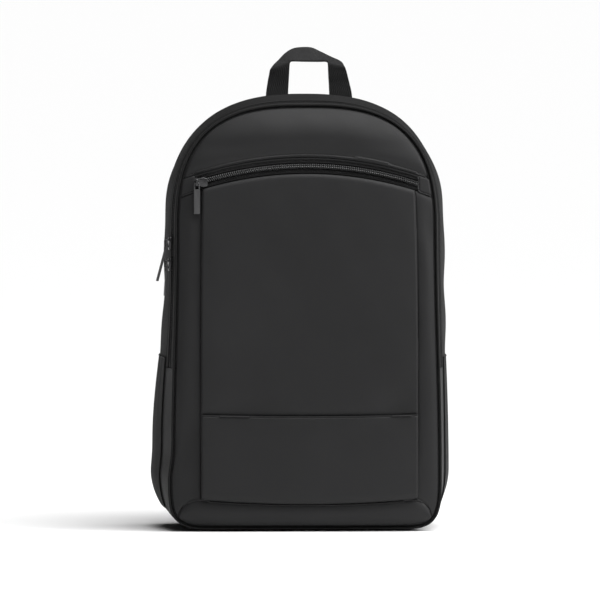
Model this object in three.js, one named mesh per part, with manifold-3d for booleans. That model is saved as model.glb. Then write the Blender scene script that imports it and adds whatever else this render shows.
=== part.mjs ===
// Laptop backpack: a hollow zipped bag with a box pocket on its front, standing on its base.
// Millimetres. +X is the viewer's right, the front faces -Y and +Z is up.
// The origin is under the middle of the bag.
import * as THREE from 'three';
import Module from 'manifold-3d';
import { mergeVertices } from 'three/addons/utils/BufferGeometryUtils.js';

const wasm = await Module();
wasm.setup();

// Bag body
const BODY_HEIGHT = 434.5;
const BODY_DEPTH = 112;
const FRONT_HALF = 134.7;
const SHOULDER_Z = 297;
const REAR_SEAM_Y = 48;
const REAR_HALF = FRONT_HALF * 1.0542;
const REAR_SHOULDER_HALF = FRONT_HALF * 1.0319;
const LEFT_BULGE = 8;
const RIGHT_BULGE = 0;
const LEFT_FOOT_BULGE = 3;
const FULL_TOP_Z = SHOULDER_Z * 0.815;
const FRONT_HEIGHT = BODY_HEIGHT * 0.9816;
const FRONT_SHOULDER_HALF = FRONT_HALF * 0.9681;
const FRONT_FOOT = 3;
const CORNER_WIDE = 45;
const CORNER_TALL = 60;
const ZIP_END_Z = 164;
const FACE_CROWN = 6;
const SEARCH_SHARE = 1e-4;

// Cloth, padding and clearances
const CLOTH = 1.6;
const TAPE = 1.2;
const BACK_PAD = 9.8;
const PAD_STAND = 2.2;
const BACK_FACE_Y = REAR_SEAM_Y + BACK_PAD + PAD_STAND;
const BACK_ROUND = 3;
const BACK_SHARE = 0.992;
const BACK_FOOT_SHARE = 0.5;
const BACK_ARCH_SHARE = 0.5;
const GAP = 0.35;
const RIM_ROOM = 1.35;
const PIPING_RADIUS = 1.9;
const PIPING_SIDES = 6;
const COIL_HEIGHT = 1.8;
const COIL_WIDE = 5.6;
const TAPE_WIDE = 10.4;

// Front pocket
const POCKET_LEFT = FRONT_HALF * 0.7825;
const POCKET_RIGHT = FRONT_HALF * 0.8285;
const POCKET_RAISE = 5;
const POCKET_TOP_PULL_IN = 3.6;
const SLIP_Z = 115.2;
const SLIP_RAISE = 1.9;
const SLIP_END_RISE = 1.6;
const SEAM_RADIUS = 358;
const WINDOW_TOP_Z = FRONT_HEIGHT * 0.8781;
const WINDOW_FOOT_Z = FRONT_HEIGHT * 0.8406;
const WINDOW_COIL_Z = FRONT_HEIGHT * 0.8572;
const WINDOW_LEFT = FRONT_HALF * 0.8241;
const WINDOW_RIGHT = FRONT_HALF * 0.8359;
const WINDOW_END_SHARE = 0.012;
const EDGE_SHARE = 0.02;
const YOKE_ARCH_SHARE = 0.55;
const BASE_SEAM_Z = 28;
const BASE_SEAM_RISE = 4.6;
const BASE_SEAM_SHARE = 0.5;
const BASE_SEAM_LEVEL = 0.8;
const WRAP_END = 0.02;
const WRAP_BULGE = 2.4;
const TAPE_SINK = 0.4;
const COIL_STAND = 0.6 * COIL_HEIGHT;

// Handle
const HANDLE_THICK = 2;
const HANDLE_SPAN = 64;
const HANDLE_SHIFT = 6;
const HANDLE_RISE = 75;
const HANDLE_SEAT_Z = BODY_HEIGHT * 0.9298;
const HANDLE_LEAN = 16;

// Shoulder straps and their webbing
const STRAP_WIDE = 62;
const STRAP_THICK = 9;
const STRAP_TOP_X = 44;
const STRAP_TOP_Z = BODY_HEIGHT * 0.9114;
const STRAP_STAND = 34;
const LOCK_Z = 141;
const LOCK_X = FRONT_HALF * 0.7721;
const WEB_WIDE = 25;
const WEB_THICK = 1.5;
const WEB_TAIL = 70;
const ANCHOR_X = FRONT_HALF * 0.8612;
const ANCHOR_Z = 46;
const ANCHOR_SIZE = 34;
const ANCHOR_THICK = 2;
const LOCK_WIDE = 36;
const LOCK_THICK = 4;
const LOCK_BAR = 5;
const LOCK_SLOT = 6;
const LOCK_TALL = 3 * LOCK_BAR + 2 * LOCK_SLOT;

// Side pockets
const SIDE_POCKET_TOP_Z = 172;
const SIDE_POCKET_CLOTH = 1.2;
const BINDING = 3;

// Sliders and pulls
const SLIDER_LONG = 13;
const SLIDER_WIDE = 10;
const SLIDER_THICK = 3;
const BRIDGE_WIDE = 2.6;
const BRIDGE_LONG = 8;
const BRIDGE_TALL = 4.6;
const BRIDGE_BAR = 1.3;
const PULL_WIDE = 6;
const PULL_THICK = 1.8;
const PULL_LONG = 31.5;
const UPPER_PULL_LONG = PULL_LONG * 1.24;
const PULL_EYE_LONG = 5;
const PULL_EYE_WIDE = 3.6;
const PULL_LEAN = 15;
const LOWER_PULL_LEAN = 3;
const POCKET_PULL_LEAN = 4;
const POCKET_PULL_SHIFT = 4.5;
const POCKET_SLIDER_X = -WINDOW_LEFT * 0.946;
const SLIDER_SEAT = 1.2;
const HINGE_DROP = 1;
const HINGE_LIFT = 1.65;
const UPPER_SLIDER_Z = SHOULDER_Z * 0.97;
const SLIDER_SPACING = 21;

// Depth of the bag up its height, as shares of the body's height and depth
const DEPTH_ROWS = [
  { up: 0, deep: 0.945 },
  { up: 0.06, deep: 0.985 },
  { up: 0.23, deep: 1 },
  { up: 0.46, deep: 0.982 },
  { up: 0.69, deep: 0.93 },
  { up: 0.83, deep: 0.865 },
  { up: 0.93, deep: 0.8 },
  { up: 1, deep: 0.74 },
];

// How far the gusset has flared from the front outline to the rear one, at shares of the depth
const FLARE_ROWS = [
  { back: 0, flare: 0 },
  { back: 0.16, flare: 0.38 },
  { back: 0.29, flare: 0.64 },
  { back: 0.45, flare: 0.87 },
  { back: 0.62, flare: 1 },
  { back: 0.8, flare: 0.98 },
  { back: 1, flare: 0.78 },
];

// Soft dents in the front, as shares of half its width, of the height and of the crown
const DENT_ROWS = [
  { place: 'left above slip seam', across: -0.5, up: 0.288, wide: 0.19, tall: 0.03, deep: 0.37 },
  { place: 'right above slip seam', across: 0.66, up: 0.292, wide: 0.15, tall: 0.035, deep: 0.43 },
  { place: 'middle of pocket', across: -0.05, up: 0.5, wide: 0.5, tall: 0.16, deep: 0.27 },
  { place: 'above pocket zip', across: -0.1, up: 0.885, wide: 0.7, tall: 0.018, deep: 0.3 },
  { place: 'right side crease', across: 0.9, up: 0.7, wide: 0.06, tall: 0.05, deep: 0.3 },
  { place: 'left side crease', across: -0.9, up: 0.2, wide: 0.07, tall: 0.05, deep: 0.33 },
];

// The handle's inner and outer edges, as shares of half its span, of its rise and of its lean back
const HANDLE_ROWS = [
  { inX: -0.655, inUp: 0, inLean: 0, outX: -1.365, outUp: 0, outLean: 0 },
  { inX: -0.653, inUp: 0.38, inLean: 0, outX: -1.36, outUp: 0.36, outLean: 0 },
  { inX: -0.637, inUp: 0.541, inLean: -0.02, outX: -1.309, outUp: 0.541, outLean: -0.02 },
  { inX: -0.622, inUp: 0.664, inLean: -0.12, outX: -1.262, outUp: 0.653, outLean: -0.12 },
  { inX: -0.605, inUp: 0.8, inLean: -0.25, outX: -1.203, outUp: 0.748, outLean: -0.25 },
  { inX: -0.585, inUp: 0.832, inLean: -0.25, outX: -0.966, outUp: 0.845, outLean: 0.2 },
  { inX: -0.54, inUp: 0.842, inLean: -0.24, outX: -0.759, outUp: 0.933, outLean: 0.55 },
  { inX: -0.42, inUp: 0.842, inLean: -0.22, outX: -0.553, outUp: 0.99, outLean: 0.85 },
  { inX: -0.2, inUp: 0.838, inLean: -0.2, outX: -0.325, outUp: 1.015, outLean: 1 },
  { inX: 0.1, inUp: 0.836, inLean: -0.2, outX: 0.066, outUp: 1.015, outLean: 1 },
  { inX: 0.35, inUp: 0.838, inLean: -0.22, outX: 0.366, outUp: 0.96, outLean: 0.9 },
  { inX: 0.5, inUp: 0.842, inLean: -0.24, outX: 0.684, outUp: 0.893, outLean: 0.6 },
  { inX: 0.57, inUp: 0.834, inLean: -0.25, outX: 1.003, outUp: 0.831, outLean: 0.2 },
  { inX: 0.59, inUp: 0.8, inLean: -0.25, outX: 1.122, outUp: 0.773, outLean: -0.25 },
  { inX: 0.6, inUp: 0.72, inLean: -0.2, outX: 1.184, outUp: 0.707, outLean: -0.2 },
  { inX: 0.613, inUp: 0.613, inLean: -0.1, outX: 1.241, outUp: 0.613, outLean: -0.1 },
  { inX: 0.625, inUp: 0.54, inLean: -0.03, outX: 1.284, outUp: 0.54, outLean: -0.03 },
  { inX: 0.64, inUp: 0.373, inLean: 0, outX: 1.366, outUp: 0.36, outLean: 0 },
  { inX: 0.645, inUp: 0, inLean: 0, outX: 1.39, outUp: 0, outLean: 0 },
];

// Shoulder straps from the lock up to the top seam
const STRAP_ROWS = [
  { up: 0, out: 1, stand: 0.36, skew: 0, wide: 0.5 },
  { up: 0.1, out: 1, stand: 0.48, skew: 0, wide: 0.66 },
  { up: 0.3, out: 0.96, stand: 0.8, skew: 0.05, wide: 0.94 },
  { up: 0.55, out: 0.74, stand: 1, skew: 0.3, wide: 1 },
  { up: 0.8, out: 0.32, stand: 0.72, skew: 0.25, wide: 0.98 },
  { up: 0.94, out: 0.06, stand: 0.2, skew: 0.08, wide: 0.94 },
  { up: 1, out: 0, stand: 0.05, skew: 0, wide: 0.92 },
];

// Zip parts and gusset from front to back, as shares of the bag's depth
const TOP_DEPTH = BODY_DEPTH * DEPTH_ROWS.at(-1).deep;
const CLEAR_SHARE = GAP / TOP_DEPTH;
const FRONT_SHARE = (PIPING_RADIUS + 2 * GAP) / TOP_DEPTH;
const REAR_SHARE = 1 - (PIPING_RADIUS + GAP) / TOP_DEPTH;
const TAPE_SHARE = TAPE_WIDE / BODY_DEPTH;
const COIL_SHARE = COIL_WIDE / BODY_DEPTH;
const COIL_FROM = FRONT_SHARE + TAPE_SHARE + CLEAR_SHARE;
const REAR_TAPE_FROM = COIL_FROM + COIL_SHARE + CLEAR_SHARE;
const REAR_TAPE_TO = REAR_TAPE_FROM + TAPE_SHARE;
const BANDS = {
  frontTape: { from: FRONT_SHARE, to: FRONT_SHARE + TAPE_SHARE },
  coil: { from: COIL_FROM, to: COIL_FROM + COIL_SHARE },
  rearTape: { from: REAR_TAPE_FROM, to: REAR_TAPE_TO },
  strip: { from: FRONT_SHARE, to: REAR_TAPE_TO },
  gusset: { from: REAR_TAPE_TO + CLEAR_SHARE, to: REAR_SHARE },
  pocket: { from: REAR_TAPE_TO + 2 * CLEAR_SHARE, to: REAR_SHARE - 2 * CLEAR_SHARE },
};

const FABRIC = { color: 0x2b2b2d, roughness: 0.55 };
const NYLON = { color: 0x151516, roughness: 0.85 };
const WEBBING = { color: 0x18181a, roughness: 0.9 };
const METAL = { color: 0x3a3a3c, roughness: 0.35, metalness: 0.8 };
const PLASTIC = { color: 0x161617, roughness: 0.5 };

const bag = new THREE.Group();
const HEART = new THREE.Vector3(0, 0, BODY_HEIGHT / 2);

function addPiece(name, geometry, look) {
  const mesh = new THREE.Mesh(geometry, new THREE.MeshStandardMaterial(look));
  mesh.name = name;
  bag.add(mesh);
  return mesh;
}

// A smooth curve through table rows, read at one value of their first column.
function readRows(rows, key, value, at) {
  const last = rows.length - 1;
  let i = 0;
  while (i < last - 1 && at > rows[i + 1][key]) i += 1;
  const slope = (a, b) => (rows[b][value] - rows[a][value]) / (rows[b][key] - rows[a][key]);
  const step = rows[i + 1][key] - rows[i][key];
  const share = THREE.MathUtils.clamp((at - rows[i][key]) / step, 0, 1);
  const slopeIn = slope(Math.max(i - 1, 0), i + 1);
  const slopeOut = slope(i, Math.min(i + 2, last));
  const h = share * share * (3 - 2 * share);
  const a = share * (1 - share) * (1 - share);
  const b = -share * share * (1 - share);
  return rows[i][value] * (1 - h) + rows[i + 1][value] * h + step * (a * slopeIn + b * slopeOut);
}

const ease = (share) => THREE.MathUtils.smoothstep(share, 0, 1);

// A quarter of a rounded corner: 0 is its foot on the axis across, 1 its end on the axis up.
function roundedQuarter(share, power) {
  const angle = (share * Math.PI) / 2;
  const across = Math.cos(angle);
  const up = Math.sin(angle);
  const reach = (across ** power + up ** power) ** (-1 / power);
  return { across: across * reach, up: up * reach };
}

const FRONT_OUTLINE = {
  half: FRONT_HALF,
  shoulderHalf: FRONT_SHOULDER_HALF,
  top: FRONT_HEIGHT,
  foot: FRONT_FOOT,
  cornerPower: 4,
  archPower: 2.8,
  fullness: 0,
  footFullness: 1,
};
const REAR_OUTLINE = {
  half: REAR_HALF,
  shoulderHalf: REAR_SHOULDER_HALF,
  top: BODY_HEIGHT,
  foot: 0,
  cornerPower: 2,
  archPower: 2.46,
  fullness: 1,
  footFullness: 0.5,
};

// The bag's outline from the front. way runs from 0 to 1 along the base, to 2 round the corner,
// to 3 up the side and to 4 at the top.
function outlinePoint(outline, side, way) {
  if (way <= 1) return { x: side * way * (outline.half - CORNER_WIDE), z: outline.foot };
  if (way <= 2) {
    const corner = roundedQuarter(way - 1, outline.cornerPower);
    const x = outline.half - CORNER_WIDE + CORNER_WIDE * corner.up;
    const z = outline.foot + (CORNER_TALL - outline.foot) * (1 - corner.across);
    return { x: side * (x + fullnessAt(outline, side, z)), z };
  }
  if (way <= 3) {
    const z = CORNER_TALL + (way - 2) * (SHOULDER_Z - CORNER_TALL);
    const x = THREE.MathUtils.lerp(outline.half, outline.shoulderHalf, ease(way - 2));
    return { x: side * (x + fullnessAt(outline, side, z)), z };
  }
  const arch = roundedQuarter(way - 3, outline.archPower);
  const z = SHOULDER_Z + (outline.top - SHOULDER_Z) * arch.up;
  return { x: side * outline.shoulderHalf * arch.across, z };
}

// The filled lower half of each side stands out past the plain outline.
function fullnessAt(outline, side, z) {
  const most = (side < 0 ? LEFT_BULGE : RIGHT_BULGE) * outline.fullness;
  const rise = ease((FULL_TOP_Z - z) / (SHOULDER_Z / 2));
  const foot = (side < 0 ? LEFT_FOOT_BULGE : 0) * outline.footFullness;
  const low = ease((CORNER_TALL * 1.35 - z) / (CORNER_TALL / 2));
  return (most * rise + foot * low) * ease(z / (CORNER_TALL / 4));
}

const wayAtHeight = (z) => 2 + (z - CORNER_TALL) / (SHOULDER_Z - CORNER_TALL);
const deepAt = (z) => readRows(DEPTH_ROWS, 'up', 'deep', z / BODY_HEIGHT);
const frontEdgeY = (z) => REAR_SEAM_Y - BODY_DEPTH * deepAt(z);

// A point of the bag's skin: side and way place it on the outline, back is its share of the depth.
// The foot comes down to the floor by the front of the base panel, which lies flat.
function skinPoint(side, way, back) {
  const foot = FRONT_FOOT * (1 - ease(back / BANDS.gusset.from));
  const front = outlinePoint({ ...FRONT_OUTLINE, foot }, side, way);
  const rear = outlinePoint(REAR_OUTLINE, side, way);
  const flare = readRows(FLARE_ROWS, 'back', 'flare', back);
  const x = THREE.MathUtils.lerp(front.x, rear.x, flare);
  const z = THREE.MathUtils.lerp(front.z, rear.z, flare);
  const y = THREE.MathUtils.lerp(frontEdgeY(front.z), REAR_SEAM_Y, back);
  return new THREE.Vector3(x, y, z);
}

// Runs from the left foot over the top to the right foot as way goes from -4 to 4 past 0 at the apex.
function aroundPoint(around, back) {
  const side = around < 0 ? -1 : 1;
  return skinPoint(side, 4 - Math.abs(around), back);
}

function steps(from, to, count) {
  return Array.from({ length: count + 1 }, (unused, i) => from + ((to - from) * i) / count);
}

function closedGeometry(points, index) {
  const geometry = new THREE.BufferGeometry();
  const numbers = points.flatMap((p) => [p.x, p.y, p.z]);
  geometry.setAttribute('position', new THREE.Float32BufferAttribute(numbers, 3));
  geometry.setIndex(index);
  if (signedVolume(points, index) < 0) geometry.setIndex(reversedFaces(index));
  const flat = geometry.toNonIndexed();
  flat.computeVertexNormals();
  return flat;
}

function signedVolume(points, index) {
  let sum = 0;
  for (let i = 0; i < index.length; i += 3) {
    const [a, b, c] = [points[index[i]], points[index[i + 1]], points[index[i + 2]]];
    sum += a.dot(new THREE.Vector3().crossVectors(b, c));
  }
  return sum;
}

function reversedFaces(index) {
  const turned = index.slice();
  for (let i = 0; i < turned.length; i += 3) [turned[i + 1], turned[i + 2]] = [turned[i + 2], turned[i + 1]];
  return turned;
}

// A closed wall from a grid of points on its outer face, going in towards the bag's heart by its thickness.
function wallGeometry(outer, thickness, skip = 0) {
  const rows = outer.length;
  const columns = outer[0].length;
  const inward = (r, c) => {
    const along = new THREE.Vector3()
      .subVectors(outer[r][Math.min(c + 1, columns - 1)], outer[r][Math.max(c - 1, 0)]);
    const up = new THREE.Vector3()
      .subVectors(outer[Math.min(r + 1, rows - 1)][c], outer[Math.max(r - 1, 0)][c]);
    const normal = along.cross(up).normalize();
    const toHeart = new THREE.Vector3().subVectors(HEART, outer[r][c]);
    return normal.dot(toHeart) < 0 ? normal.negate() : normal;
  };
  const moved = (depth) => outer
    .map((line, r) => line.map((p, c) => p.clone().addScaledVector(inward(r, c), depth)));
  return betweenGeometry(moved(skip), moved(skip + thickness));
}

// A closed solid between two grids of points of the same size.
function betweenGeometry(outer, inner) {
  const rows = outer.length;
  const columns = outer[0].length;
  const end = columns - 1;
  const points = [...outer.flat(), ...inner.flat()];
  const at = (face, r, c) => face * rows * columns + r * columns + c;
  const index = [];
  const quad = (a, b, c, d) => index.push(a, b, c, a, c, d);
  for (let r = 0; r < rows - 1; r += 1) {
    for (let c = 0; c < columns - 1; c += 1) {
      quad(at(0, r, c), at(0, r, c + 1), at(0, r + 1, c + 1), at(0, r + 1, c));
      quad(at(1, r, c), at(1, r + 1, c), at(1, r + 1, c + 1), at(1, r, c + 1));
    }
    quad(at(0, r, 0), at(0, r + 1, 0), at(1, r + 1, 0), at(1, r, 0));
    quad(at(0, r, end), at(1, r, end), at(1, r + 1, end), at(0, r + 1, end));
  }
  for (let c = 0; c < columns - 1; c += 1) {
    quad(at(0, 0, c), at(1, 0, c), at(1, 0, c + 1), at(0, 0, c + 1));
    quad(at(0, rows - 1, c), at(0, rows - 1, c + 1), at(1, rows - 1, c + 1), at(1, rows - 1, c));
  }
  return closedGeometry(points, index);
}

// A band of the skin, from one place around to another, between two shares of the depth.
function bandGeometry(places, band, columns, thickness, skip = 0) {
  const shares = steps(band.from, band.to, columns);
  const grid = places.map((around) => shares.map((back) => aroundPoint(around, back)));
  return wallGeometry(grid, thickness, skip);
}

// A flat strap swept along a path: each station has its centre, its width and the direction of its width.
function strapGeometry(stations, thickness) {
  const ring = (station, i) => {
    const before = stations[Math.max(i - 1, 0)].centre;
    const after = stations[Math.min(i + 1, stations.length - 1)].centre;
    const ahead = new THREE.Vector3().subVectors(after, before).normalize();
    const across = station.across.clone().normalize();
    const normal = new THREE.Vector3().crossVectors(across, ahead).normalize();
    const corner = (a, n) => station.centre.clone()
      .addScaledVector(across, (a * station.wide) / 2)
      .addScaledVector(normal, (n * thickness) / 2);
    return [corner(1, 1), corner(-1, 1), corner(-1, -1), corner(1, -1)];
  };
  const rings = stations.map(ring);
  return loftGeometry(rings);
}

// A closed loft through rings that all have the same number of points.
function loftGeometry(rings) {
  const count = rings[0].length;
  const index = [];
  for (let i = 0; i < rings.length - 1; i += 1) {
    for (let j = 0; j < count; j += 1) {
      const next = (j + 1) % count;
      const [a, b, c, d] = [i * count + j, i * count + next, (i + 1) * count + next, (i + 1) * count + j];
      index.push(a, b, c, a, c, d);
    }
  }
  const end = (rings.length - 1) * count;
  for (let j = 1; j < count - 1; j += 1) {
    index.push(0, j + 1, j);
    index.push(end, end + j, end + j + 1);
  }
  return closedGeometry(rings.flat(), index);
}

// Piping that follows the outline all the way round, at one share of the depth.
function pipingGeometry(back, segments) {
  const radius = PIPING_RADIUS;
  const around = [];
  const half = [0.4, ...steps(1, 2, 8), ...steps(2, 3, 6).slice(1), ...steps(3, 4, 8).slice(1)];
  half.slice(0, -1).forEach((way) => around.push(skinPoint(-1, way, back)));
  half.slice().reverse().forEach((way) => around.push(skinPoint(1, way, back)));
  around.forEach((p) => p.setZ(Math.max(p.z, radius + GAP)));
  const path = new THREE.CatmullRomCurve3(around, true);
  const corners = steps(0, 2 * Math.PI, PIPING_SIDES).slice(0, PIPING_SIDES)
    .map((angle) => new THREE.Vector2(radius * Math.cos(angle), radius * Math.sin(angle)));
  const section = new THREE.Shape(corners);
  return new THREE.ExtrudeGeometry(section, { steps: segments, extrudePath: path, curveSegments: 1 });
}

// Front face without its pocket. reach is 0 in the middle and 1 at the piping.
function faceReach(x, z) {
  const narrowed = ease((z - CORNER_TALL) / (SHOULDER_Z - CORNER_TALL));
  const side = THREE.MathUtils.lerp(FRONT_HALF, FRONT_SHOULDER_HALF, narrowed);
  if (z <= SHOULDER_Z) {
    const foot = THREE.MathUtils.clamp(1 - (z - FRONT_FOOT) / (CORNER_TALL / 2), 0, 1);
    return (Math.min(Math.abs(x) / side, 1) ** 4 + foot ** 4) ** 0.25;
  }
  const power = FRONT_OUTLINE.archPower;
  const up = (z - SHOULDER_Z) / (FRONT_HEIGHT - SHOULDER_Z);
  return (Math.min(Math.abs(x) / FRONT_SHOULDER_HALF, 1) ** power + up ** power) ** (1 / power);
}

function dentAt(x, z) {
  return DENT_ROWS.reduce((sum, dent) => {
    const across = (x / FRONT_HALF - dent.across) / dent.wide;
    const up = (z / BODY_HEIGHT - dent.up) / dent.tall;
    return sum + FACE_CROWN * dent.deep * Math.exp(-across * across - up * up);
  }, 0);
}

function faceY(x, z) {
  const reach = Math.min(faceReach(x, z), 1);
  return frontEdgeY(z) - FACE_CROWN * (1 - reach ** 5) + dentAt(x, z);
}

const sagged = (apex) => (x) => apex - SEAM_RADIUS + Math.sqrt(SEAM_RADIUS * SEAM_RADIUS - x * x);
const windowTop = sagged(WINDOW_TOP_Z);
const windowFoot = sagged(WINDOW_FOOT_Z);
const windowCoil = sagged(WINDOW_COIL_Z);
const slipSeam = (x) => SLIP_Z + SLIP_END_RISE * (x / POCKET_RIGHT) ** 2;
const baseSeam = (x) => BASE_SEAM_Z + BASE_SEAM_RISE * (x / POCKET_LEFT) ** 2;

// The pocket's edges lean in a little towards its top.
function pocketEdge(side, z) {
  const lean = POCKET_TOP_PULL_IN * Math.max(0, (z - SLIP_Z) / (WINDOW_FOOT_Z - SLIP_Z)) ** 3;
  return side < 0 ? -(POCKET_LEFT - lean / 2) : POCKET_RIGHT - lean;
}

// The base seam runs level under the pocket and turns down round each corner to the piping.
function baseSeamPoint(share) {
  const side = share < 0.5 ? -1 : 1;
  const out = Math.abs(share - 0.5) * 2;
  if (out <= BASE_SEAM_LEVEL) {
    const x = (side * POCKET_LEFT * out) / BASE_SEAM_LEVEL;
    return { x, z: baseSeam(x) };
  }
  const corner = roundedQuarter((out - BASE_SEAM_LEVEL) / (1 - BASE_SEAM_LEVEL), 2);
  const foot = faceRim(side, 1 + BASE_SEAM_SHARE);
  const start = { x: side * POCKET_LEFT, z: baseSeam(POCKET_LEFT) };
  return {
    x: start.x + (foot.x - start.x) * corner.up,
    z: foot.z + (start.z - foot.z) * corner.across,
  };
}

// The face's rim lies inside the piping.
function faceRim(side, way) {
  const p = outlinePoint(FRONT_OUTLINE, side, way);
  const inset = PIPING_RADIUS + RIM_ROOM;
  const a = outlinePoint(FRONT_OUTLINE, side, Math.max(way - EDGE_SHARE, 0));
  const b = outlinePoint(FRONT_OUTLINE, side, Math.min(way + EDGE_SHARE, 4));
  const inward = (side * inset) / Math.hypot(b.x - a.x, b.z - a.z);
  return { x: p.x - inward * (b.z - a.z), z: p.z + inward * (b.x - a.x) };
}

// A four-sided piece of the face, blended between its four edges, each a function of a share from 0 to 1.
function fourSided(foot, top, left, right) {
  const mix = (a, b, t) => a + (b - a) * t;
  return (u, v) => {
    const blend = (k) => mix(foot(u)[k], top(u)[k], v) + mix(left(v)[k], right(v)[k], u)
      - mix(mix(foot(0)[k], foot(1)[k], u), mix(top(0)[k], top(1)[k], u), v);
    return { x: blend('x'), z: blend('z') };
  };
}

function faceGeometry(place, columns, rows, depthAt, thickness) {
  const grid = rows.map((v) => columns.map((u) => {
    const p = place(u, v);
    return new THREE.Vector3(p.x, depthAt(p.x, p.z, u, v), p.z);
  }));
  return wallGeometry(grid, thickness);
}

function yokeGeometry() {
  const endWay = wayAtWindow(windowTop) + EDGE_SHARE;
  const cornerWay = 3 + YOKE_ARCH_SHARE;
  const clear = GAP / 2;
  const endLeft = faceRim(-1, endWay);
  const endRight = faceRim(1, endWay);
  const foot = (u) => {
    const x = THREE.MathUtils.lerp(endLeft.x, endRight.x, u);
    return { x, z: windowTop(x) + clear };
  };
  const side = (sign) => (v) => faceRimFrom(sign, endWay, cornerWay, v, foot(sign < 0 ? 0 : 1));
  const top = (u) => {
    const around = THREE.MathUtils.lerp(cornerWay - 4, 4 - cornerWay, u);
    return faceRim(around < 0 ? -1 : 1, 4 - Math.abs(around));
  };
  const place = fourSided(foot, top, side(-1), side(1));
  return faceGeometry(place, steps(0, 1, 18), steps(0, 1, 6), faceY, CLOTH);
}

// The rim from one way to another, started exactly at a given point.
function faceRimFrom(side, fromWay, toWay, share, start) {
  const p = faceRim(side, THREE.MathUtils.lerp(fromWay, toWay, share));
  const first = faceRim(side, fromWay);
  const fade = 1 - share;
  return { x: p.x + (start.x - first.x) * fade, z: p.z + (start.z - first.z) * fade };
}

// The way at which a seam across the front meets the rim, closed in on by halves.
function wayAtWindow(seam) {
  let low = 3;
  let high = 4;
  while (high - low > SEARCH_SHARE) {
    const way = (low + high) / 2;
    const p = faceRim(1, way);
    if (p.z < seam(p.x)) low = way;
    else high = way;
  }
  return low;
}

// A strip of the zip window between two seams.
function windowStrip(lowSeam, highSeam, lowClear, highClear) {
  const place = (u, v) => {
    const x = THREE.MathUtils.lerp(-WINDOW_LEFT + GAP, WINDOW_RIGHT - GAP, u);
    return { x, z: THREE.MathUtils.lerp(lowSeam(x) + lowClear, highSeam(x) - highClear, v) };
  };
  return faceGeometry(place, steps(0, 1, 16), [0, 1], (x, z) => faceY(x, z) + TAPE_SINK, TAPE);
}

function windowCoilGeometry() {
  const place = (u, v) => {
    const x = THREE.MathUtils.lerp(-WINDOW_LEFT + GAP, WINDOW_RIGHT - GAP, u);
    return { x, z: windowCoil(x) + (v - 0.5) * (COIL_WIDE - 2 * GAP) };
  };
  const lift = [0, -COIL_STAND, 0];
  const depth = (x, z, u, v) => faceY(x, z) + lift[Math.round(v * 2)];
  return faceGeometry(place, steps(0, 1, 20), [0, 0.5, 1], depth, TAPE);
}

function windowEndGeometry(side) {
  const inner = side < 0 ? -WINDOW_LEFT - GAP : WINDOW_RIGHT + GAP;
  const fromWay = wayAtWindow(windowFoot) + WINDOW_END_SHARE;
  const toWay = wayAtWindow(windowTop) - WINDOW_END_SHARE;
  const place = (u, v) => {
    const outer = faceRim(side, THREE.MathUtils.lerp(fromWay, toWay, v));
    const x = THREE.MathUtils.lerp(inner, outer.x, u);
    return { x, z: THREE.MathUtils.lerp(windowFoot(x) + GAP, windowTop(x) - GAP, v) };
  };
  return faceGeometry(place, [0, 0.5, 1], [0, 0.5, 1], faceY, CLOTH);
}

function sidePanelGeometry(side) {
  const topWay = wayAtWindow(windowFoot) - EDGE_SHARE;
  const footWay = 1 + BASE_SEAM_SHARE + EDGE_SHARE;
  const edgeX = (z) => pocketEdge(side, z) + side * 2 * GAP;
  const topInner = edgeX(windowFoot(pocketEdge(side, WINDOW_FOOT_Z)));
  const cornerFrom = (1 - BASE_SEAM_LEVEL) / 2;
  const cornerShare = (u) => (side < 0 ? cornerFrom * (1 - u) : 1 - cornerFrom * (1 - u));
  const footInnerZ = baseSeamPoint(cornerShare(0)).z + GAP;
  const foot = (u) => {
    const p = baseSeamPoint(cornerShare(u));
    const inner = 1 - u;
    return { x: p.x + (edgeX(footInnerZ) - p.x) * inner ** 8, z: p.z + 2 * GAP + 0.6 * u };
  };
  const rimTop = faceRim(side, topWay);
  const top = (u) => {
    const x = THREE.MathUtils.lerp(topInner, rimTop.x, u);
    return { x, z: windowFoot(x) - GAP };
  };
  const outer = (v) => faceRimFrom(side, footWay, topWay, v, foot(1));
  const inner = (v) => {
    const z = THREE.MathUtils.lerp(foot(0).z, top(0).z, v);
    return { x: edgeX(z), z };
  };
  const place = fourSided(foot, top, inner, outer);
  return faceGeometry(place, steps(0, 1, 3), steps(0, 1, 16), faceY, CLOTH);
}

// A raised panel of the pocket: one more column on each side goes back towards the face.
function raisedGeometry(seams, raise, rows, footTuck, topTuck) {
  const columns = [-1, ...steps(0, 1, 12), 2];
  const place = (u, v) => {
    const share = THREE.MathUtils.clamp(u, 0, 1);
    const middle = THREE.MathUtils.lerp(SLIP_Z, WINDOW_FOOT_Z, v);
    const across = THREE.MathUtils.lerp(pocketEdge(-1, middle), pocketEdge(1, middle), share);
    const z = THREE.MathUtils.lerp(seams.foot(across), seams.top(across), v);
    return { x: THREE.MathUtils.lerp(pocketEdge(-1, z), pocketEdge(1, z), share), z };
  };
  const depth = (x, z, u, v) => {
    if (u < 0 || u > 1) return faceY(x, z) + CLOTH;
    const tuck = topTuck * v ** 14 + footTuck * (1 - v) ** 14;
    const shoulder = 1 - 0.25 * Math.abs(2 * u - 1) ** 8;
    return faceY(x, z) - raise * shoulder * (1 - tuck);
  };
  return faceGeometry(place, columns, steps(0, 1, rows), depth, CLOTH);
}

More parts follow.
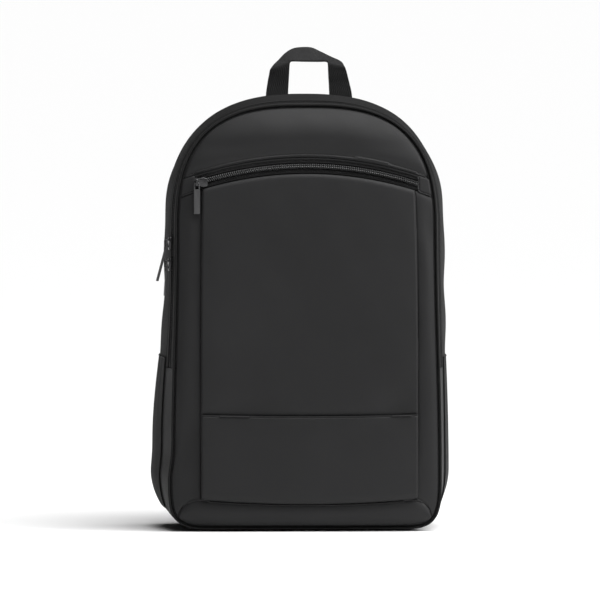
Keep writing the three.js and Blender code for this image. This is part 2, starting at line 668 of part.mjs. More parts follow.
// The front of the base: from the base seam down to the rim.
function baseWrapGeometry() {
  const low = (u) => {
    const around = THREE.MathUtils.lerp(-1 - BASE_SEAM_SHARE, 1 + BASE_SEAM_SHARE, u);
    return faceRim(around < 0 ? -1 : 1, Math.abs(around));
  };
  const place = (u, v) => {
    const foot = low(u);
    const seam = baseSeamPoint(u);
    const ends = Math.abs(2 * u - 1) ** 6;
    return {
      x: THREE.MathUtils.lerp(foot.x, seam.x, v),
      z: THREE.MathUtils.lerp(foot.z, seam.z - GAP * (1 - ends), v),
    };
  };
  const depth = (x, z, u, v) => faceY(x, z) - WRAP_BULGE * Math.sin(Math.PI * v);
  return faceGeometry(place, steps(WRAP_END, 1 - WRAP_END, 26), steps(0, 1, 4), depth, CLOTH);
}

// A band under the bag, from one way up the left side to the same way up the right one.
function underGeometry(endWay, sideCount, band, columns) {
  const corner = steps(1, Math.min(endWay, 2), 7).slice(1);
  const upright = endWay > 2 ? steps(2, endWay, sideCount).slice(1) : [];
  const half = [...steps(0, 1, 3), ...corner, ...upright];
  const places = [...half.slice(1).reverse().map((way) => -way), ...half];
  const grid = places.map((along) => steps(band.from, band.to, columns)
    .map((back) => skinPoint(along < 0 ? -1 : 1, Math.abs(along), back)));
  return wallGeometry(grid, CLOTH);
}

function sidePlaces(side, fromZ, toZ, count) {
  return steps(wayAtHeight(fromZ), wayAtHeight(toZ), count).map((way) => side * (4 - way));
}

function archPlaces(endZ, sideCount, archCount) {
  const left = sidePlaces(-1, endZ, SHOULDER_Z, sideCount);
  const arch = steps(-1, 1, archCount).slice(1, -1);
  return [...left, ...arch, ...left.map((around) => -around).reverse()];
}

// The padded back fills the rear seam and stands out a little behind it.
function backPanelGeometry() {
  const rim = (side, way) => {
    const p = skinPoint(side, way, 1);
    return { x: p.x * BACK_SHARE, z: BODY_HEIGHT / 2 + (p.z - BODY_HEIGHT / 2) * BACK_SHARE };
  };
  const cornerWay = 3 + BACK_ARCH_SHARE;
  const footWay = 1 + BACK_FOOT_SHARE;
  const foot = (u) => {
    const along = THREE.MathUtils.lerp(-footWay, footWay, u);
    return rim(along < 0 ? -1 : 1, Math.abs(along));
  };
  const top = (u) => {
    const around = THREE.MathUtils.lerp(cornerWay - 4, 4 - cornerWay, u);
    return rim(around < 0 ? -1 : 1, 4 - Math.abs(around));
  };
  const edge = (side) => (v) => rim(side, THREE.MathUtils.lerp(footWay, cornerWay, v));
  const place = fourSided(foot, top, edge(-1), edge(1));
  const shares = [0, 0.03, ...steps(0.1, 0.9, 6), 0.97, 1];
  const grid = shares.map((v) => shares.map((u) => {
    const p = place(u, v);
    const middle = Math.sin(Math.PI * u) * Math.sin(Math.PI * v);
    const rounded = Math.min(1, 6 * middle);
    return new THREE.Vector3(p.x, BACK_FACE_Y - BACK_ROUND * (1 - rounded) ** 2, p.z);
  }));
  const lining = grid.map((line) => line.map((p) => p.clone().setY(REAR_SEAM_Y + PIPING_RADIUS + GAP)));
  return betweenGeometry(grid, lining);
}

// The handle's webbing faces forward at its feet and leans back along the top, folded at both corners.
function handleGeometry() {
  const half = HANDLE_SPAN / 2;
  const seatY = BACK_FACE_Y + GAP + HANDLE_THICK / 2;
  const edgePoint = ([x, up, lean]) => new THREE.Vector3(
    HANDLE_SHIFT + x * half,
    seatY + lean * HANDLE_LEAN,
    HANDLE_SEAT_Z + up * HANDLE_RISE,
  );
  const smooth = (points) => new THREE.CatmullRomCurve3(points, false, 'catmullrom', 0.5);
  const inner = smooth(HANDLE_ROWS.map((row) => edgePoint([row.inX, row.inUp, row.inLean])));
  const outer = smooth(HANDLE_ROWS.map((row) => edgePoint([row.outX, row.outUp, row.outLean])));
  const stations = steps(0, 1, 45).map((share) => {
    const [from, to] = [inner.getPoint(share), outer.getPoint(share)];
    const across = new THREE.Vector3().subVectors(to, from);
    return { centre: from.add(to).multiplyScalar(0.5), wide: across.length(), across };
  });
  return strapGeometry(stations, HANDLE_THICK);
}

// More stations along the same smooth path.
function smoothStations(stations, count) {
  const path = new THREE.CatmullRomCurve3(stations.map((s) => s.centre), false, 'centripetal');
  const turns = new THREE.CatmullRomCurve3(stations.map((s) => s.across), false, 'centripetal');
  const last = stations.length - 1;
  return steps(0, 1, count).map((share) => {
    const i = Math.min(Math.floor(share * last), last - 1);
    const wide = THREE.MathUtils.lerp(stations[i].wide, stations[i + 1].wide, share * last - i);
    return { centre: path.getPoint(share), across: turns.getPoint(share).normalize(), wide };
  });
}

function shoulderStrapGeometry(side) {
  const foot = LOCK_Z + LOCK_TALL / 2 + 3 * GAP;
  const seatY = BACK_FACE_Y + GAP + STRAP_THICK / 2;
  const stations = STRAP_ROWS.map((row) => ({
    centre: new THREE.Vector3(
      side * THREE.MathUtils.lerp(STRAP_TOP_X, LOCK_X, row.out),
      seatY + row.stand * STRAP_STAND,
      THREE.MathUtils.lerp(foot, STRAP_TOP_Z, row.up),
    ),
    across: new THREE.Vector3(1, 0, side * row.skew),
    wide: STRAP_WIDE * row.wide,
  }));
  return strapGeometry(smoothStations(stations, 22), STRAP_THICK);
}

// The webbing rises behind the lock, turns over its middle bar and hangs down as a tail.
function webGeometry(side) {
  const lockY = lockCentreY();
  const turnRadius = LOCK_THICK / 2 + GAP + WEB_THICK / 2;
  const barTop = LOCK_Z + LOCK_BAR / 2 - 1;
  const anchorY = BACK_FACE_Y + 2 * GAP + ANCHOR_THICK + WEB_THICK / 2;
  const across = new THREE.Vector3(1, 0, 0);
  const station = (x, y, z) => ({ centre: new THREE.Vector3(side * x, y, z), across, wide: WEB_WIDE });
  const rise = [
    station(ANCHOR_X, anchorY, ANCHOR_Z - ANCHOR_SIZE / 4),
    station(ANCHOR_X - 1, anchorY, ANCHOR_Z + ANCHOR_SIZE / 4),
    station((ANCHOR_X + LOCK_X) / 2, (anchorY + lockY - turnRadius) / 2, (ANCHOR_Z + barTop) / 2),
    station(LOCK_X, lockY - turnRadius, LOCK_Z - LOCK_TALL / 2),
  ];
  const turn = steps(0, 1, 6).map((share) => {
    const angle = Math.PI * share;
    return station(LOCK_X, lockY - turnRadius * Math.cos(angle), barTop + turnRadius * Math.sin(angle));
  });
  const tail = station(LOCK_X, lockY + turnRadius, barTop - WEB_TAIL);
  return strapGeometry([...rise, ...turn, tail], WEB_THICK);
}

const lockCentreY = () => BACK_FACE_Y + GAP + STRAP_THICK / 2 + STRAP_ROWS[0].stand * STRAP_STAND;

// A ladder lock: three bars across, joined by two rails.
function lockGeometry(side) {
  const shape = new THREE.Shape();
  const half = LOCK_WIDE / 2;
  const tall = LOCK_TALL / 2;
  shape.moveTo(-half, -tall).lineTo(half, -tall).lineTo(half, tall).lineTo(-half, tall).closePath();
  [-1, 1].forEach((up) => {
    const middle = (up * (LOCK_BAR + LOCK_SLOT)) / 2;
    const slotHalf = WEB_WIDE / 2 + 1;
    const hole = new THREE.Path();
    hole.moveTo(-slotHalf, middle - LOCK_SLOT / 2).lineTo(slotHalf, middle - LOCK_SLOT / 2);
    hole.lineTo(slotHalf, middle + LOCK_SLOT / 2).lineTo(-slotHalf, middle + LOCK_SLOT / 2).closePath();
    shape.holes.push(hole);
  });
  const geometry = new THREE.ExtrudeGeometry(shape, { depth: LOCK_THICK, bevelEnabled: false });
  geometry.translate(0, 0, -LOCK_THICK / 2);
  geometry.rotateX(Math.PI / 2);
  geometry.translate(side * LOCK_X, lockCentreY(), LOCK_Z);
  return geometry;
}

// A triangle of folded webbing, sewn into the lower corner of the back.
function anchorGeometry(side) {
  const half = ANCHOR_SIZE / 2;
  const shape = shapeOf([
    [-half * 0.8, -half], [half * 0.4, -half * 0.8], [half * 0.8, half], [-half * 0.8, half],
  ]);
  const geometry = new THREE.ExtrudeGeometry(shape, { depth: ANCHOR_THICK, bevelEnabled: false });
  geometry.rotateX(Math.PI / 2);
  if (side < 0) geometry.rotateZ(Math.PI).translate(0, -ANCHOR_THICK, 0);
  geometry.translate(side * ANCHOR_X, BACK_FACE_Y + GAP + ANCHOR_THICK, ANCHOR_Z);
  return geometry;
}

// A flat pocket on the gusset, open along its bound mouth.
function sidePocketGeometry(side) {
  const ways = steps(1.6, wayAtHeight(SIDE_POCKET_TOP_Z), 9);
  const places = ways.map((way) => side * (4 - way));
  return bandGeometry(places, BANDS.pocket, 4, SIDE_POCKET_CLOTH, -SIDE_POCKET_CLOTH - 2 * GAP);
}

function bindingGeometry(side) {
  const low = wayAtHeight(SIDE_POCKET_TOP_Z + 2 * GAP);
  const high = wayAtHeight(SIDE_POCKET_TOP_Z + 2 * GAP + BINDING);
  const places = steps(low, high, 1).map((way) => side * (4 - way));
  return bandGeometry(places, BANDS.pocket, 4, BINDING * 0.7, -BINDING * 0.7 - GAP);
}

// One solid of two closed geometries that run into each other.
function joined(first, second) {
  const solid = (geometry) => {
    const bare = geometry.clone();
    bare.deleteAttribute('normal');
    bare.deleteAttribute('uv');
    const merged = mergeVertices(bare, 1e-4);
    const triVerts = new Uint32Array(merged.index.array);
    const vertProperties = merged.attributes.position.array;
    return new wasm.Manifold(new wasm.Mesh({ numProp: 3, vertProperties, triVerts }));
  };
  const mesh = solid(first).add(solid(second)).getMesh();
  const geometry = new THREE.BufferGeometry();
  geometry.setAttribute('position', new THREE.BufferAttribute(Float32Array.from(mesh.vertProperties), 3));
  geometry.setIndex(Array.from(mesh.triVerts));
  const flat = geometry.toNonIndexed();
  flat.computeVertexNormals();
  return flat;
}

function shapeOf(points) {
  return new THREE.Shape(points.map(([x, y]) => new THREE.Vector2(x, y)));
}

// A slider lies along Y on its zip and faces +Z; turned, it lies along X under the same bridge.
function sliderGeometry(turned, bridgeX) {
  const half = SLIDER_LONG / 2;
  const side = SLIDER_WIDE / 2;
  const plan = shapeOf([
    [-side * 0.62, -half], [side * 0.62, -half], [side * 0.8, -half * 0.2], [side, half * 0.35],
    [side * 0.75, half], [-side * 0.75, half], [-side, half * 0.35], [-side * 0.8, -half * 0.2],
  ]);
  const body = new THREE.ExtrudeGeometry(plan, { depth: SLIDER_THICK, bevelEnabled: false });
  if (turned) body.rotateZ(-Math.PI / 2);
  const reach = BRIDGE_LONG / 2;
  const top = SLIDER_THICK + BRIDGE_TALL;
  const root = SLIDER_THICK / 2;
  const profile = shapeOf([
    [-reach, root], [reach, root], [reach, top - BRIDGE_BAR],
    [reach * 0.7, top], [-reach * 0.7, top], [-reach, top - BRIDGE_BAR],
  ]);
  const inner = reach - BRIDGE_BAR;
  profile.holes.push(shapeOf([
    [-inner, SLIDER_THICK], [inner, SLIDER_THICK],
    [inner * 0.85, top - BRIDGE_BAR], [-inner * 0.85, top - BRIDGE_BAR],
  ]));
  const bridge = new THREE.ExtrudeGeometry(profile, { depth: BRIDGE_WIDE, bevelEnabled: false });
  bridge.translate(0, 0, -BRIDGE_WIDE / 2);
  bridge.rotateY(Math.PI / 2).rotateX(Math.PI / 2).rotateZ(Math.PI);
  bridge.translate(bridgeX, 0, 0);
  return joined(body, bridge);
}

// A flat pull that hangs along -Y from a hinge along X, with the bridge through its eye.
function pullGeometry(long) {
  const side = PULL_WIDE / 2;
  const eyeSide = PULL_EYE_WIDE / 2;
  const bar = PULL_THICK / 2;
  const low = bar - long;
  const eyeLow = -bar - PULL_EYE_LONG;
  const shape = shapeOf([
    [side * 0.8, bar], [-side * 0.8, bar], [-side, -bar], [-side, low], [side, low], [side, -bar],
  ]);
  shape.holes.push(shapeOf([[-eyeSide, -bar], [eyeSide, -bar], [eyeSide, eyeLow], [-eyeSide, eyeLow]]));
  const geometry = new THREE.ExtrudeGeometry(shape, { depth: PULL_THICK, bevelEnabled: false });
  return geometry.translate(0, 0, -PULL_THICK / 2);
}

// A slider and its pull at a place on a zip, with the directions of up and of out.
function addSlider(name, place, up, out, hang, turned, bridgeX) {
  const seat = new THREE.Group();
  const across = new THREE.Vector3().crossVectors(up, out).normalize();
  const trueUp = new THREE.Vector3().crossVectors(out, across).normalize();
  seat.matrix.makeBasis(across, trueUp, out.clone().normalize()).setPosition(place);
  seat.matrix.decompose(seat.position, seat.quaternion, seat.scale);
  const slider = new THREE.Mesh(sliderGeometry(turned, bridgeX), new THREE.MeshStandardMaterial(METAL));
  slider.name = `${name}_slider`;
  const pull = new THREE.Mesh(pullGeometry(hang.long), new THREE.MeshStandardMaterial(METAL));
  pull.name = `${name}_pull`;
  pull.position.set(bridgeX, -HINGE_DROP, SLIDER_THICK + HINGE_LIFT);
  pull.rotation.x = -THREE.MathUtils.degToRad(hang.lean);
  seat.add(slider, pull);
  bag.add(seat);
}

function addMainSlider(name, z, hang) {
  const way = wayAtHeight(z);
  const back = COIL_FROM + COIL_SHARE / 2;
  const place = skinPoint(-1, way, back);
  const up = skinPoint(-1, way + 0.02, back).sub(skinPoint(-1, way - 0.02, back)).normalize();
  const rearward = skinPoint(-1, way, back + 0.01).sub(skinPoint(-1, way, back - 0.01)).normalize();
  const out = new THREE.Vector3().crossVectors(up, rearward).normalize();
  addSlider(name, place.addScaledVector(out, COIL_HEIGHT / 3 + GAP), up, out, hang, false, 0);
}

function addPocketSlider() {
  const x = POCKET_SLIDER_X;
  const z = windowCoil(x);
  const out = new THREE.Vector3(0, -1, 0);
  const up = new THREE.Vector3(0, 0, 1);
  const place = new THREE.Vector3(x, faceY(x, z) - COIL_STAND - SLIDER_SEAT, z);
  const hang = { lean: POCKET_PULL_LEAN, long: PULL_LONG };
  addSlider('pocket', place, up, out, hang, true, -POCKET_PULL_SHIFT);
}

function makeSliders() {
  addPocketSlider();
  addMainSlider('main_upper', UPPER_SLIDER_Z, { lean: PULL_LEAN, long: UPPER_PULL_LONG });
  const lowerZ = UPPER_SLIDER_Z - SLIDER_SPACING;
  addMainSlider('main_lower', lowerZ, { lean: LOWER_PULL_LEAN, long: PULL_LONG });
}

function makeFront() {
  addPiece('yoke_panel', yokeGeometry(), FABRIC);
  const coilTop = (x) => windowCoil(x) + COIL_WIDE / 2;
  const coilFoot = (x) => windowCoil(x) - COIL_WIDE / 2;
  addPiece('pocket_zip_tape_upper', windowStrip(coilTop, windowTop, 0, GAP), NYLON);
  addPiece('pocket_zip_coil', windowCoilGeometry(), NYLON);
  addPiece('pocket_zip_tape_lower', windowStrip(windowFoot, coilFoot, GAP, 0), NYLON);
  addPiece('pocket_zip_end_left', windowEndGeometry(-1), FABRIC);
  addPiece('pocket_zip_end_right', windowEndGeometry(1), FABRIC);
  addPiece('side_panel_left', sidePanelGeometry(-1), FABRIC);
  addPiece('side_panel_right', sidePanelGeometry(1), FABRIC);
  const panel = { foot: (x) => slipSeam(x) + GAP, top: (x) => windowFoot(x) - GAP };
  const slip = { foot: (x) => baseSeam(x) + GAP, top: (x) => slipSeam(x) - GAP };
  const slipRaise = POCKET_RAISE + SLIP_RAISE;
  addPiece('pocket_front_panel', raisedGeometry(panel, POCKET_RAISE, 14, 0, 0.8), FABRIC);
  addPiece('slip_pocket_panel', raisedGeometry(slip, slipRaise, 5, 0.5, 0), FABRIC);
  addPiece('base_wrap', baseWrapGeometry(), FABRIC);
  addPiece('front_piping', pipingGeometry(0, 84), NYLON);
}

function makeGusset() {
  const zipPlaces = archPlaces(ZIP_END_Z, 5, 18);
  addPiece('main_zip_tape_front', bandGeometry(zipPlaces, BANDS.frontTape, 1, TAPE), NYLON);
  addPiece('main_zip_coil', bandGeometry(zipPlaces, BANDS.coil, 1, TAPE, -COIL_HEIGHT / 3), NYLON);
  addPiece('main_zip_tape_rear', bandGeometry(zipPlaces, BANDS.rearTape, 1, TAPE), NYLON);
  const stripWay = wayAtHeight(ZIP_END_Z - 2 * GAP);
  addPiece('lower_gusset', underGeometry(stripWay, 6, BANDS.strip, 2), FABRIC);
  const gussetPlaces = archPlaces(CORNER_TALL + GAP, 9, 22);
  addPiece('rear_gusset', bandGeometry(gussetPlaces, BANDS.gusset, 4, CLOTH), NYLON);
  addPiece('base_panel', underGeometry(wayAtHeight(CORNER_TALL - GAP), 1, BANDS.gusset, 3), NYLON);
}

function makeBack() {
  addPiece('rear_piping', pipingGeometry(1, 72), NYLON);
  addPiece('back_panel', backPanelGeometry(), NYLON);
  addPiece('top_handle', handleGeometry(), WEBBING);
  [-1, 1].forEach((side) => {
    const name = side < 0 ? 'left' : 'right';
    addPiece(`shoulder_strap_${name}`, shoulderStrapGeometry(side), NYLON);
    addPiece(`ladder_lock_${name}`, lockGeometry(side), PLASTIC);
    addPiece(`strap_web_${name}`, webGeometry(side), WEBBING);
    addPiece(`strap_anchor_${name}`, anchorGeometry(side), WEBBING);
    addPiece(`side_pocket_${name}`, sidePocketGeometry(side), NYLON);
    addPiece(`side_pocket_binding_${name}`, bindingGeometry(side), WEBBING);
  });
}

makeFront();
makeGusset();
makeBack();
makeSliders();

// The origin lies under the middle of the whole backpack.
const bounds = new THREE.Box3().setFromObject(bag);
const middle = bounds.getCenter(new THREE.Vector3());
bag.position.set(-middle.x, -middle.y, -bounds.min.z);
const backpack = new THREE.Group();
backpack.add(bag);

export default backpack;
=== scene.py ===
# The laptop backpack's looks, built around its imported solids.
# Shapes are worked out in millimetres in the bag's own frame, then moved to the part's frame in metres.
import math
import bmesh
import bpy
import numpy as np
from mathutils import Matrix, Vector


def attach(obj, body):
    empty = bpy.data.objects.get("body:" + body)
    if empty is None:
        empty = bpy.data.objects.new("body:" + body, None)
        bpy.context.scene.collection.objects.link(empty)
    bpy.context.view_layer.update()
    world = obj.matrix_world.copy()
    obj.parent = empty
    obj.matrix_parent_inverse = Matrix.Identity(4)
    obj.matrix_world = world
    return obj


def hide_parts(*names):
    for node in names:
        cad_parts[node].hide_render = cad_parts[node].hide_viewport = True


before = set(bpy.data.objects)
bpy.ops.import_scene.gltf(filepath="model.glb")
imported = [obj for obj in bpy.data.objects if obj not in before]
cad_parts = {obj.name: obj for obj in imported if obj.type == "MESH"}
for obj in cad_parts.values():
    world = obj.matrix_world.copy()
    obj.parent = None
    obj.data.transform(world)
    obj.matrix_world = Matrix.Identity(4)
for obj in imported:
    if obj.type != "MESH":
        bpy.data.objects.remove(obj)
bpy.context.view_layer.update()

MM = 0.001
ORIGIN = np.array([4.626, -13.256, 0.0])
UP = np.array([0.0, 0.0, 1.0])
REAR = np.array([0.0, 1.0, 0.0])

# Bag body
BODY_HEIGHT = 434.5
BODY_DEPTH = 112
REAR_SEAM_Y = 48
SHOULDER_Z = 297
CORNER_WIDE = 45
CORNER_TALL = 60
ZIP_END_Z = 164
FRONT_FOOT = 3
FACE_CROWN = 6
FULL_TOP_Z = 242
LEFT_FULLNESS = 8
RIGHT_FULLNESS = 0
LEFT_FOOT_FULLNESS = 3
CLOTH = 1.6
TAPE = 1.2
GAP = 0.35
PIPING_RADIUS = 1.9
PIPING_SLIM = 1.0
ALLOWANCE = 9
ALLOWANCE_SUNK = 2.6
ALLOWANCE_THICK = 0.8
SEAM_ROLL = (3.0, 1.3)
WINDOW_SUNK = 1.6
MAIN_COIL_SUNK = 1.3
BINDING_RADIUS = 0.9
RIM_ROOM = 1.3
BACKING_SUNK = 2.7
BACKING_THICK = 0.6
COIL_WIDE = 5.6
TAPE_WIDE = 10.4
BACK_FACE_Y = 60
BACK_LINING_Y = 50.3
BACK_SHARE = 0.992
HEART = np.array([0, 0, BODY_HEIGHT / 2])

# Front pocket
POCKET_LEFT = 105.4
POCKET_RIGHT = 111.6
POCKET_RAISE = 5
POCKET_TOP_PULL_IN = 3.6
YOKE_SWELL = 5
SIDE_SWELL = 2.2
SLIP_Z = 115.2
SLIP_RAISE = 1.9
SLIP_END_RISE = 1.6
SEAM_RADIUS = 358
WINDOW_TOP_Z = 374.5
WINDOW_FOOT_Z = 358.5
WINDOW_COIL_Z = 365.6
WINDOW_LEFT = 111
WINDOW_RIGHT = 112.6
BASE_SEAM_Z = 28
BASE_SEAM_RISE = 4.6
BASE_SEAM_WAY = 1.5
BASE_SEAM_LEVEL = 0.8

# Handle, straps and webbing
HANDLE_THICK = 2
HANDLE_SPAN = 64
HANDLE_SHIFT = 6
HANDLE_SEAT_Z = 404
HANDLE_RISE = 75
HANDLE_LEAN = 16
STRAP_WIDE = 62
STRAP_THICK = 9
STRAP_TOP_X = 44
STRAP_TOP_Z = 396
STRAP_STAND = 34
LOCK_Z = 141
LOCK_X = 104
LOCK_TALL = 27
LOCK_BAR = 5
LOCK_THICK = 4
WEB_WIDE = 25
WEB_THICK = 1.5
WEB_TAIL = 70
ANCHOR_X = 116
ANCHOR_Z = 46
ANCHOR_SIZE = 34
ANCHOR_THICK = 2
SIDE_POCKET_TOP_Z = 172

OUTLINES = {
    "front": {"half": 134.7, "shoulder": 130.4, "top": 426.5, "corner": 4, "arch": 2.8, "full": 0,
              "foot_full": 1},
    "rear": {"half": 142, "shoulder": 139, "top": BODY_HEIGHT, "corner": 2, "arch": 2.46, "full": 1,
             "foot_full": 0.5},
}

# (share of the height, share of the depth)
DEPTH_ROWS = [
    (0, 0.945), (0.06, 0.985), (0.23, 1), (0.46, 0.982), (0.69, 0.93), (0.83, 0.865), (0.93, 0.8), (1, 0.74),
]
# (share of the depth, flare from the front outline to the rear one)
FLARE_ROWS = [(0, 0), (0.16, 0.38), (0.29, 0.64), (0.45, 0.87), (0.62, 1), (0.8, 0.98), (1, 0.78)]
# Soft dents in the front: (across, up, wide, tall, deep)
DENT_ROWS = [
    (-0.5, 0.288, 0.19, 0.03, 2.2),
    (0.66, 0.292, 0.15, 0.035, 2.6),
    (-0.05, 0.5, 0.5, 0.16, 1.6),
    (-0.1, 0.885, 0.7, 0.018, 1.8),
    (0.9, 0.7, 0.06, 0.05, 1.8),
    (-0.9, 0.2, 0.07, 0.05, 2),
]
# The handle's two edges: (inner across, up and lean back, outer across, up and lean back)
HANDLE_ROWS = [
    (-0.655, 0, 0, -1.365, 0, 0), (-0.653, 0.38, 0, -1.36, 0.36, 0),
    (-0.637, 0.541, -0.02, -1.309, 0.541, -0.02), (-0.622, 0.664, -0.12, -1.262, 0.653, -0.12),
    (-0.605, 0.8, -0.25, -1.203, 0.748, -0.25), (-0.585, 0.832, -0.25, -0.966, 0.845, 0.2),
    (-0.54, 0.842, -0.24, -0.759, 0.933, 0.55), (-0.42, 0.842, -0.22, -0.553, 0.99, 0.85),
    (-0.2, 0.838, -0.2, -0.325, 1.015, 1), (0.1, 0.836, -0.2, 0.066, 1.015, 1),
    (0.35, 0.838, -0.22, 0.366, 0.96, 0.9), (0.5, 0.842, -0.24, 0.684, 0.893, 0.6),
    (0.57, 0.834, -0.25, 1.003, 0.831, 0.2), (0.59, 0.8, -0.25, 1.122, 0.773, -0.25),
    (0.6, 0.72, -0.2, 1.184, 0.707, -0.2), (0.613, 0.613, -0.1, 1.241, 0.613, -0.1),
    (0.625, 0.54, -0.03, 1.284, 0.54, -0.03), (0.64, 0.373, 0, 1.366, 0.36, 0), (0.645, 0, 0, 1.39, 0, 0),
]
# Shoulder straps from the lock up: (up, out, stand, skew, wide)
STRAP_ROWS = [
    (0, 1, 0.36, 0, 0.5), (0.1, 1, 0.48, 0, 0.66), (0.3, 0.96, 0.8, 0.05, 0.94), (0.55, 0.74, 1, 0.3, 1),
    (0.8, 0.32, 0.72, 0.25, 0.98), (0.94, 0.06, 0.2, 0.08, 0.94), (1, 0, 0.05, 0, 0.92),
]
# Cords along the window's tapes: (distance from the seam, sunk below the face, radius)
WINDOW_BEADS = {"upper": [(1.3, 1.0, 1.0), (4.6, 1.2, 0.5)], "lower": [(2.9, 1.4, 0.45)]}

TOP_DEPTH = BODY_DEPTH * DEPTH_ROWS[-1][1]
CLEAR_SHARE = GAP / TOP_DEPTH
FRONT_SHARE = (PIPING_SLIM + GAP) / TOP_DEPTH
REAR_SHARE = 1 - (PIPING_RADIUS + GAP) / TOP_DEPTH
TAPE_SHARE = TAPE_WIDE / BODY_DEPTH
COIL_SHARE = COIL_WIDE / BODY_DEPTH
COIL_FROM = FRONT_SHARE + TAPE_SHARE + CLEAR_SHARE
REAR_TAPE_FROM = COIL_FROM + COIL_SHARE + CLEAR_SHARE
REAR_TAPE_TO = REAR_TAPE_FROM + TAPE_SHARE
GUSSET_FROM = REAR_TAPE_TO + CLEAR_SHARE


# Plain mathematics

def lerp(a, b, t):
    return a + (b - a) * t


def ease(t):
    t = np.clip(t, 0, 1)
    return t * t * (3 - 2 * t)


def read_rows(rows, at, column=1):
    """A smooth curve through a table's rows, read at values of its first column."""
    table = np.array(rows, float)
    xs, ys = table[:, 0], table[:, column]
    last = len(xs) - 1
    at = np.asarray(at, float)
    i = np.clip(np.searchsorted(xs, at, side="left") - 1, 0, last - 1)
    step = xs[i + 1] - xs[i]
    t = np.clip((at - xs[i]) / step, 0, 1)
    before, after = np.maximum(i - 1, 0), np.minimum(i + 2, last)
    slope_in = (ys[i + 1] - ys[before]) / (xs[i + 1] - xs[before])
    slope_out = (ys[after] - ys[i]) / (xs[after] - xs[i])
    h = ease(t)
    bend = t * (1 - t) ** 2 * slope_in - t * t * (1 - t) * slope_out
    return ys[i] * (1 - h) + ys[i + 1] * h + step * bend


def unit(v):
    return v / np.maximum(np.linalg.norm(v, axis=-1, keepdims=True), 1e-9)


def even(count):
    return np.linspace(0, 1, count + 1)


def crowded(count):
    """Shares from 0 to 1 that crowd towards both ends, where panels roll into their seams."""
    return (1 - np.cos(np.pi * even(count))) / 2


def along(points, axis=0):
    """The length walked along a row of points, up to each of them."""
    points = np.moveaxis(np.asarray(points, float), axis, 0)
    legs = np.linalg.norm(np.diff(points, axis=0), axis=-1)
    return np.concatenate([np.zeros((1,) + legs.shape[1:]), np.cumsum(legs, axis=0)])


def resampled(path, step):
    """The same path with points at even steps."""
    path = np.asarray(path, float)
    walked = along(path)
    marks = np.linspace(0, walked[-1], max(int(walked[-1] / step), 2) + 1)
    return np.stack([np.interp(marks, walked, path[:, k]) for k in range(path.shape[1])], axis=1)


def smoothed(points, count, closed=False):
    """A Catmull-Rom curve through points, of any number of columns."""
    p = np.asarray(points, float)
    n = len(p)
    spans = n if closed else n - 1
    t = np.linspace(0, spans, count + 1)[: count if closed else None]
    i = np.minimum(t.astype(int), spans - 1)
    f = (t - i)[:, None]
    pick = (lambda k: p[k % n]) if closed else (lambda k: p[np.clip(k, 0, n - 1)])
    a, b, c, d = pick(i - 1), pick(i), pick(i + 1), pick(i + 2)
    bend = (2 * a - 5 * b + 4 * c - d) * f ** 2 + (3 * b - a - 3 * c + d) * f ** 3
    return 0.5 * (2 * b + (c - a) * f + bend)


# The bag's skin, as in the part

def rounded_quarter(share, power):
    angle = np.asarray(share) * math.pi / 2
    across, up = np.cos(angle), np.sin(angle)
    reach = (np.abs(across) ** power + np.abs(up) ** power) ** (-1 / power)
    return across * reach, up * reach


def fullness(line, side, z):
    most = np.where(side < 0, LEFT_FULLNESS, RIGHT_FULLNESS) * line["full"]
    foot = np.where(side < 0, LEFT_FOOT_FULLNESS, 0) * line["foot_full"]
    rise = most * ease((FULL_TOP_Z - z) / (SHOULDER_Z / 2))
    rise = rise + foot * ease((CORNER_TALL * 1.35 - z) / (CORNER_TALL / 2))
    return rise * ease(z / (CORNER_TALL / 4))


def outline_point(name, side, way, foot):
    """way runs from 0 to 1 along the base, to 2 round the corner, to 3 up the side and to 4 at the top."""
    line = OUTLINES[name]
    half, shoulder = line["half"], line["shoulder"]
    across, up = rounded_quarter(np.clip(way - 1, 0, 1), line["corner"])
    corner_x = half - CORNER_WIDE + CORNER_WIDE * up
    corner_z = foot + (CORNER_TALL - foot) * (1 - across)
    side_z = CORNER_TALL + (way - 2) * (SHOULDER_Z - CORNER_TALL)
    side_x = lerp(half, shoulder, ease(way - 2))
    arch_across, arch_up = rounded_quarter(np.clip(way - 3, 0, 1), line["arch"])
    arch_z = SHOULDER_Z + (line["top"] - SHOULDER_Z) * arch_up
    low, mid, upper = way <= 1, way <= 2, way <= 3
    z = np.select([low, mid, upper], [foot + 0 * way, corner_z, side_z], arch_z)
    x = np.select([low, mid, upper], [way * (half - CORNER_WIDE), corner_x, side_x], shoulder * arch_across)
    full = np.where(low | (way > 3), 0, fullness(line, side, z))
    return side * (x + full), z


def way_at_height(z):
    return 2 + (z - CORNER_TALL) / (SHOULDER_Z - CORNER_TALL)


def front_edge_y(z):
    return REAR_SEAM_Y - BODY_DEPTH * read_rows(DEPTH_ROWS, z / BODY_HEIGHT)


def skin(side, way, back):
    """Points of the skin: side and way place them on the outline, back is their share of the depth."""
    side, way, back = np.broadcast_arrays(*(np.asarray(value, float) for value in (side, way, back)))
    foot = FRONT_FOOT * (1 - ease(back / GUSSET_FROM))
    fx, fz = outline_point("front", side, way, foot)
    rx, rz = outline_point("rear", side, way, 0.0)
    flare = read_rows(FLARE_ROWS, back)
    x, z = lerp(fx, rx, flare), lerp(fz, rz, flare)
    return np.stack([x, lerp(front_edge_y(fz), REAR_SEAM_Y, back), z], axis=-1)


def around(place, back):
    """Round the bag from -4 at the left foot over the top at 0 to 4 at the right foot."""
    place = np.asarray(place, float)
    return skin(np.where(place < 0, -1.0, 1.0), 4 - np.abs(place), back)


def under(place, back):
    """Round the bag from the left side, under it at 0, to the right side."""
    place = np.asarray(place, float)
    return skin(np.where(place < 0, -1.0, 1.0), np.abs(place), back)


# The front face

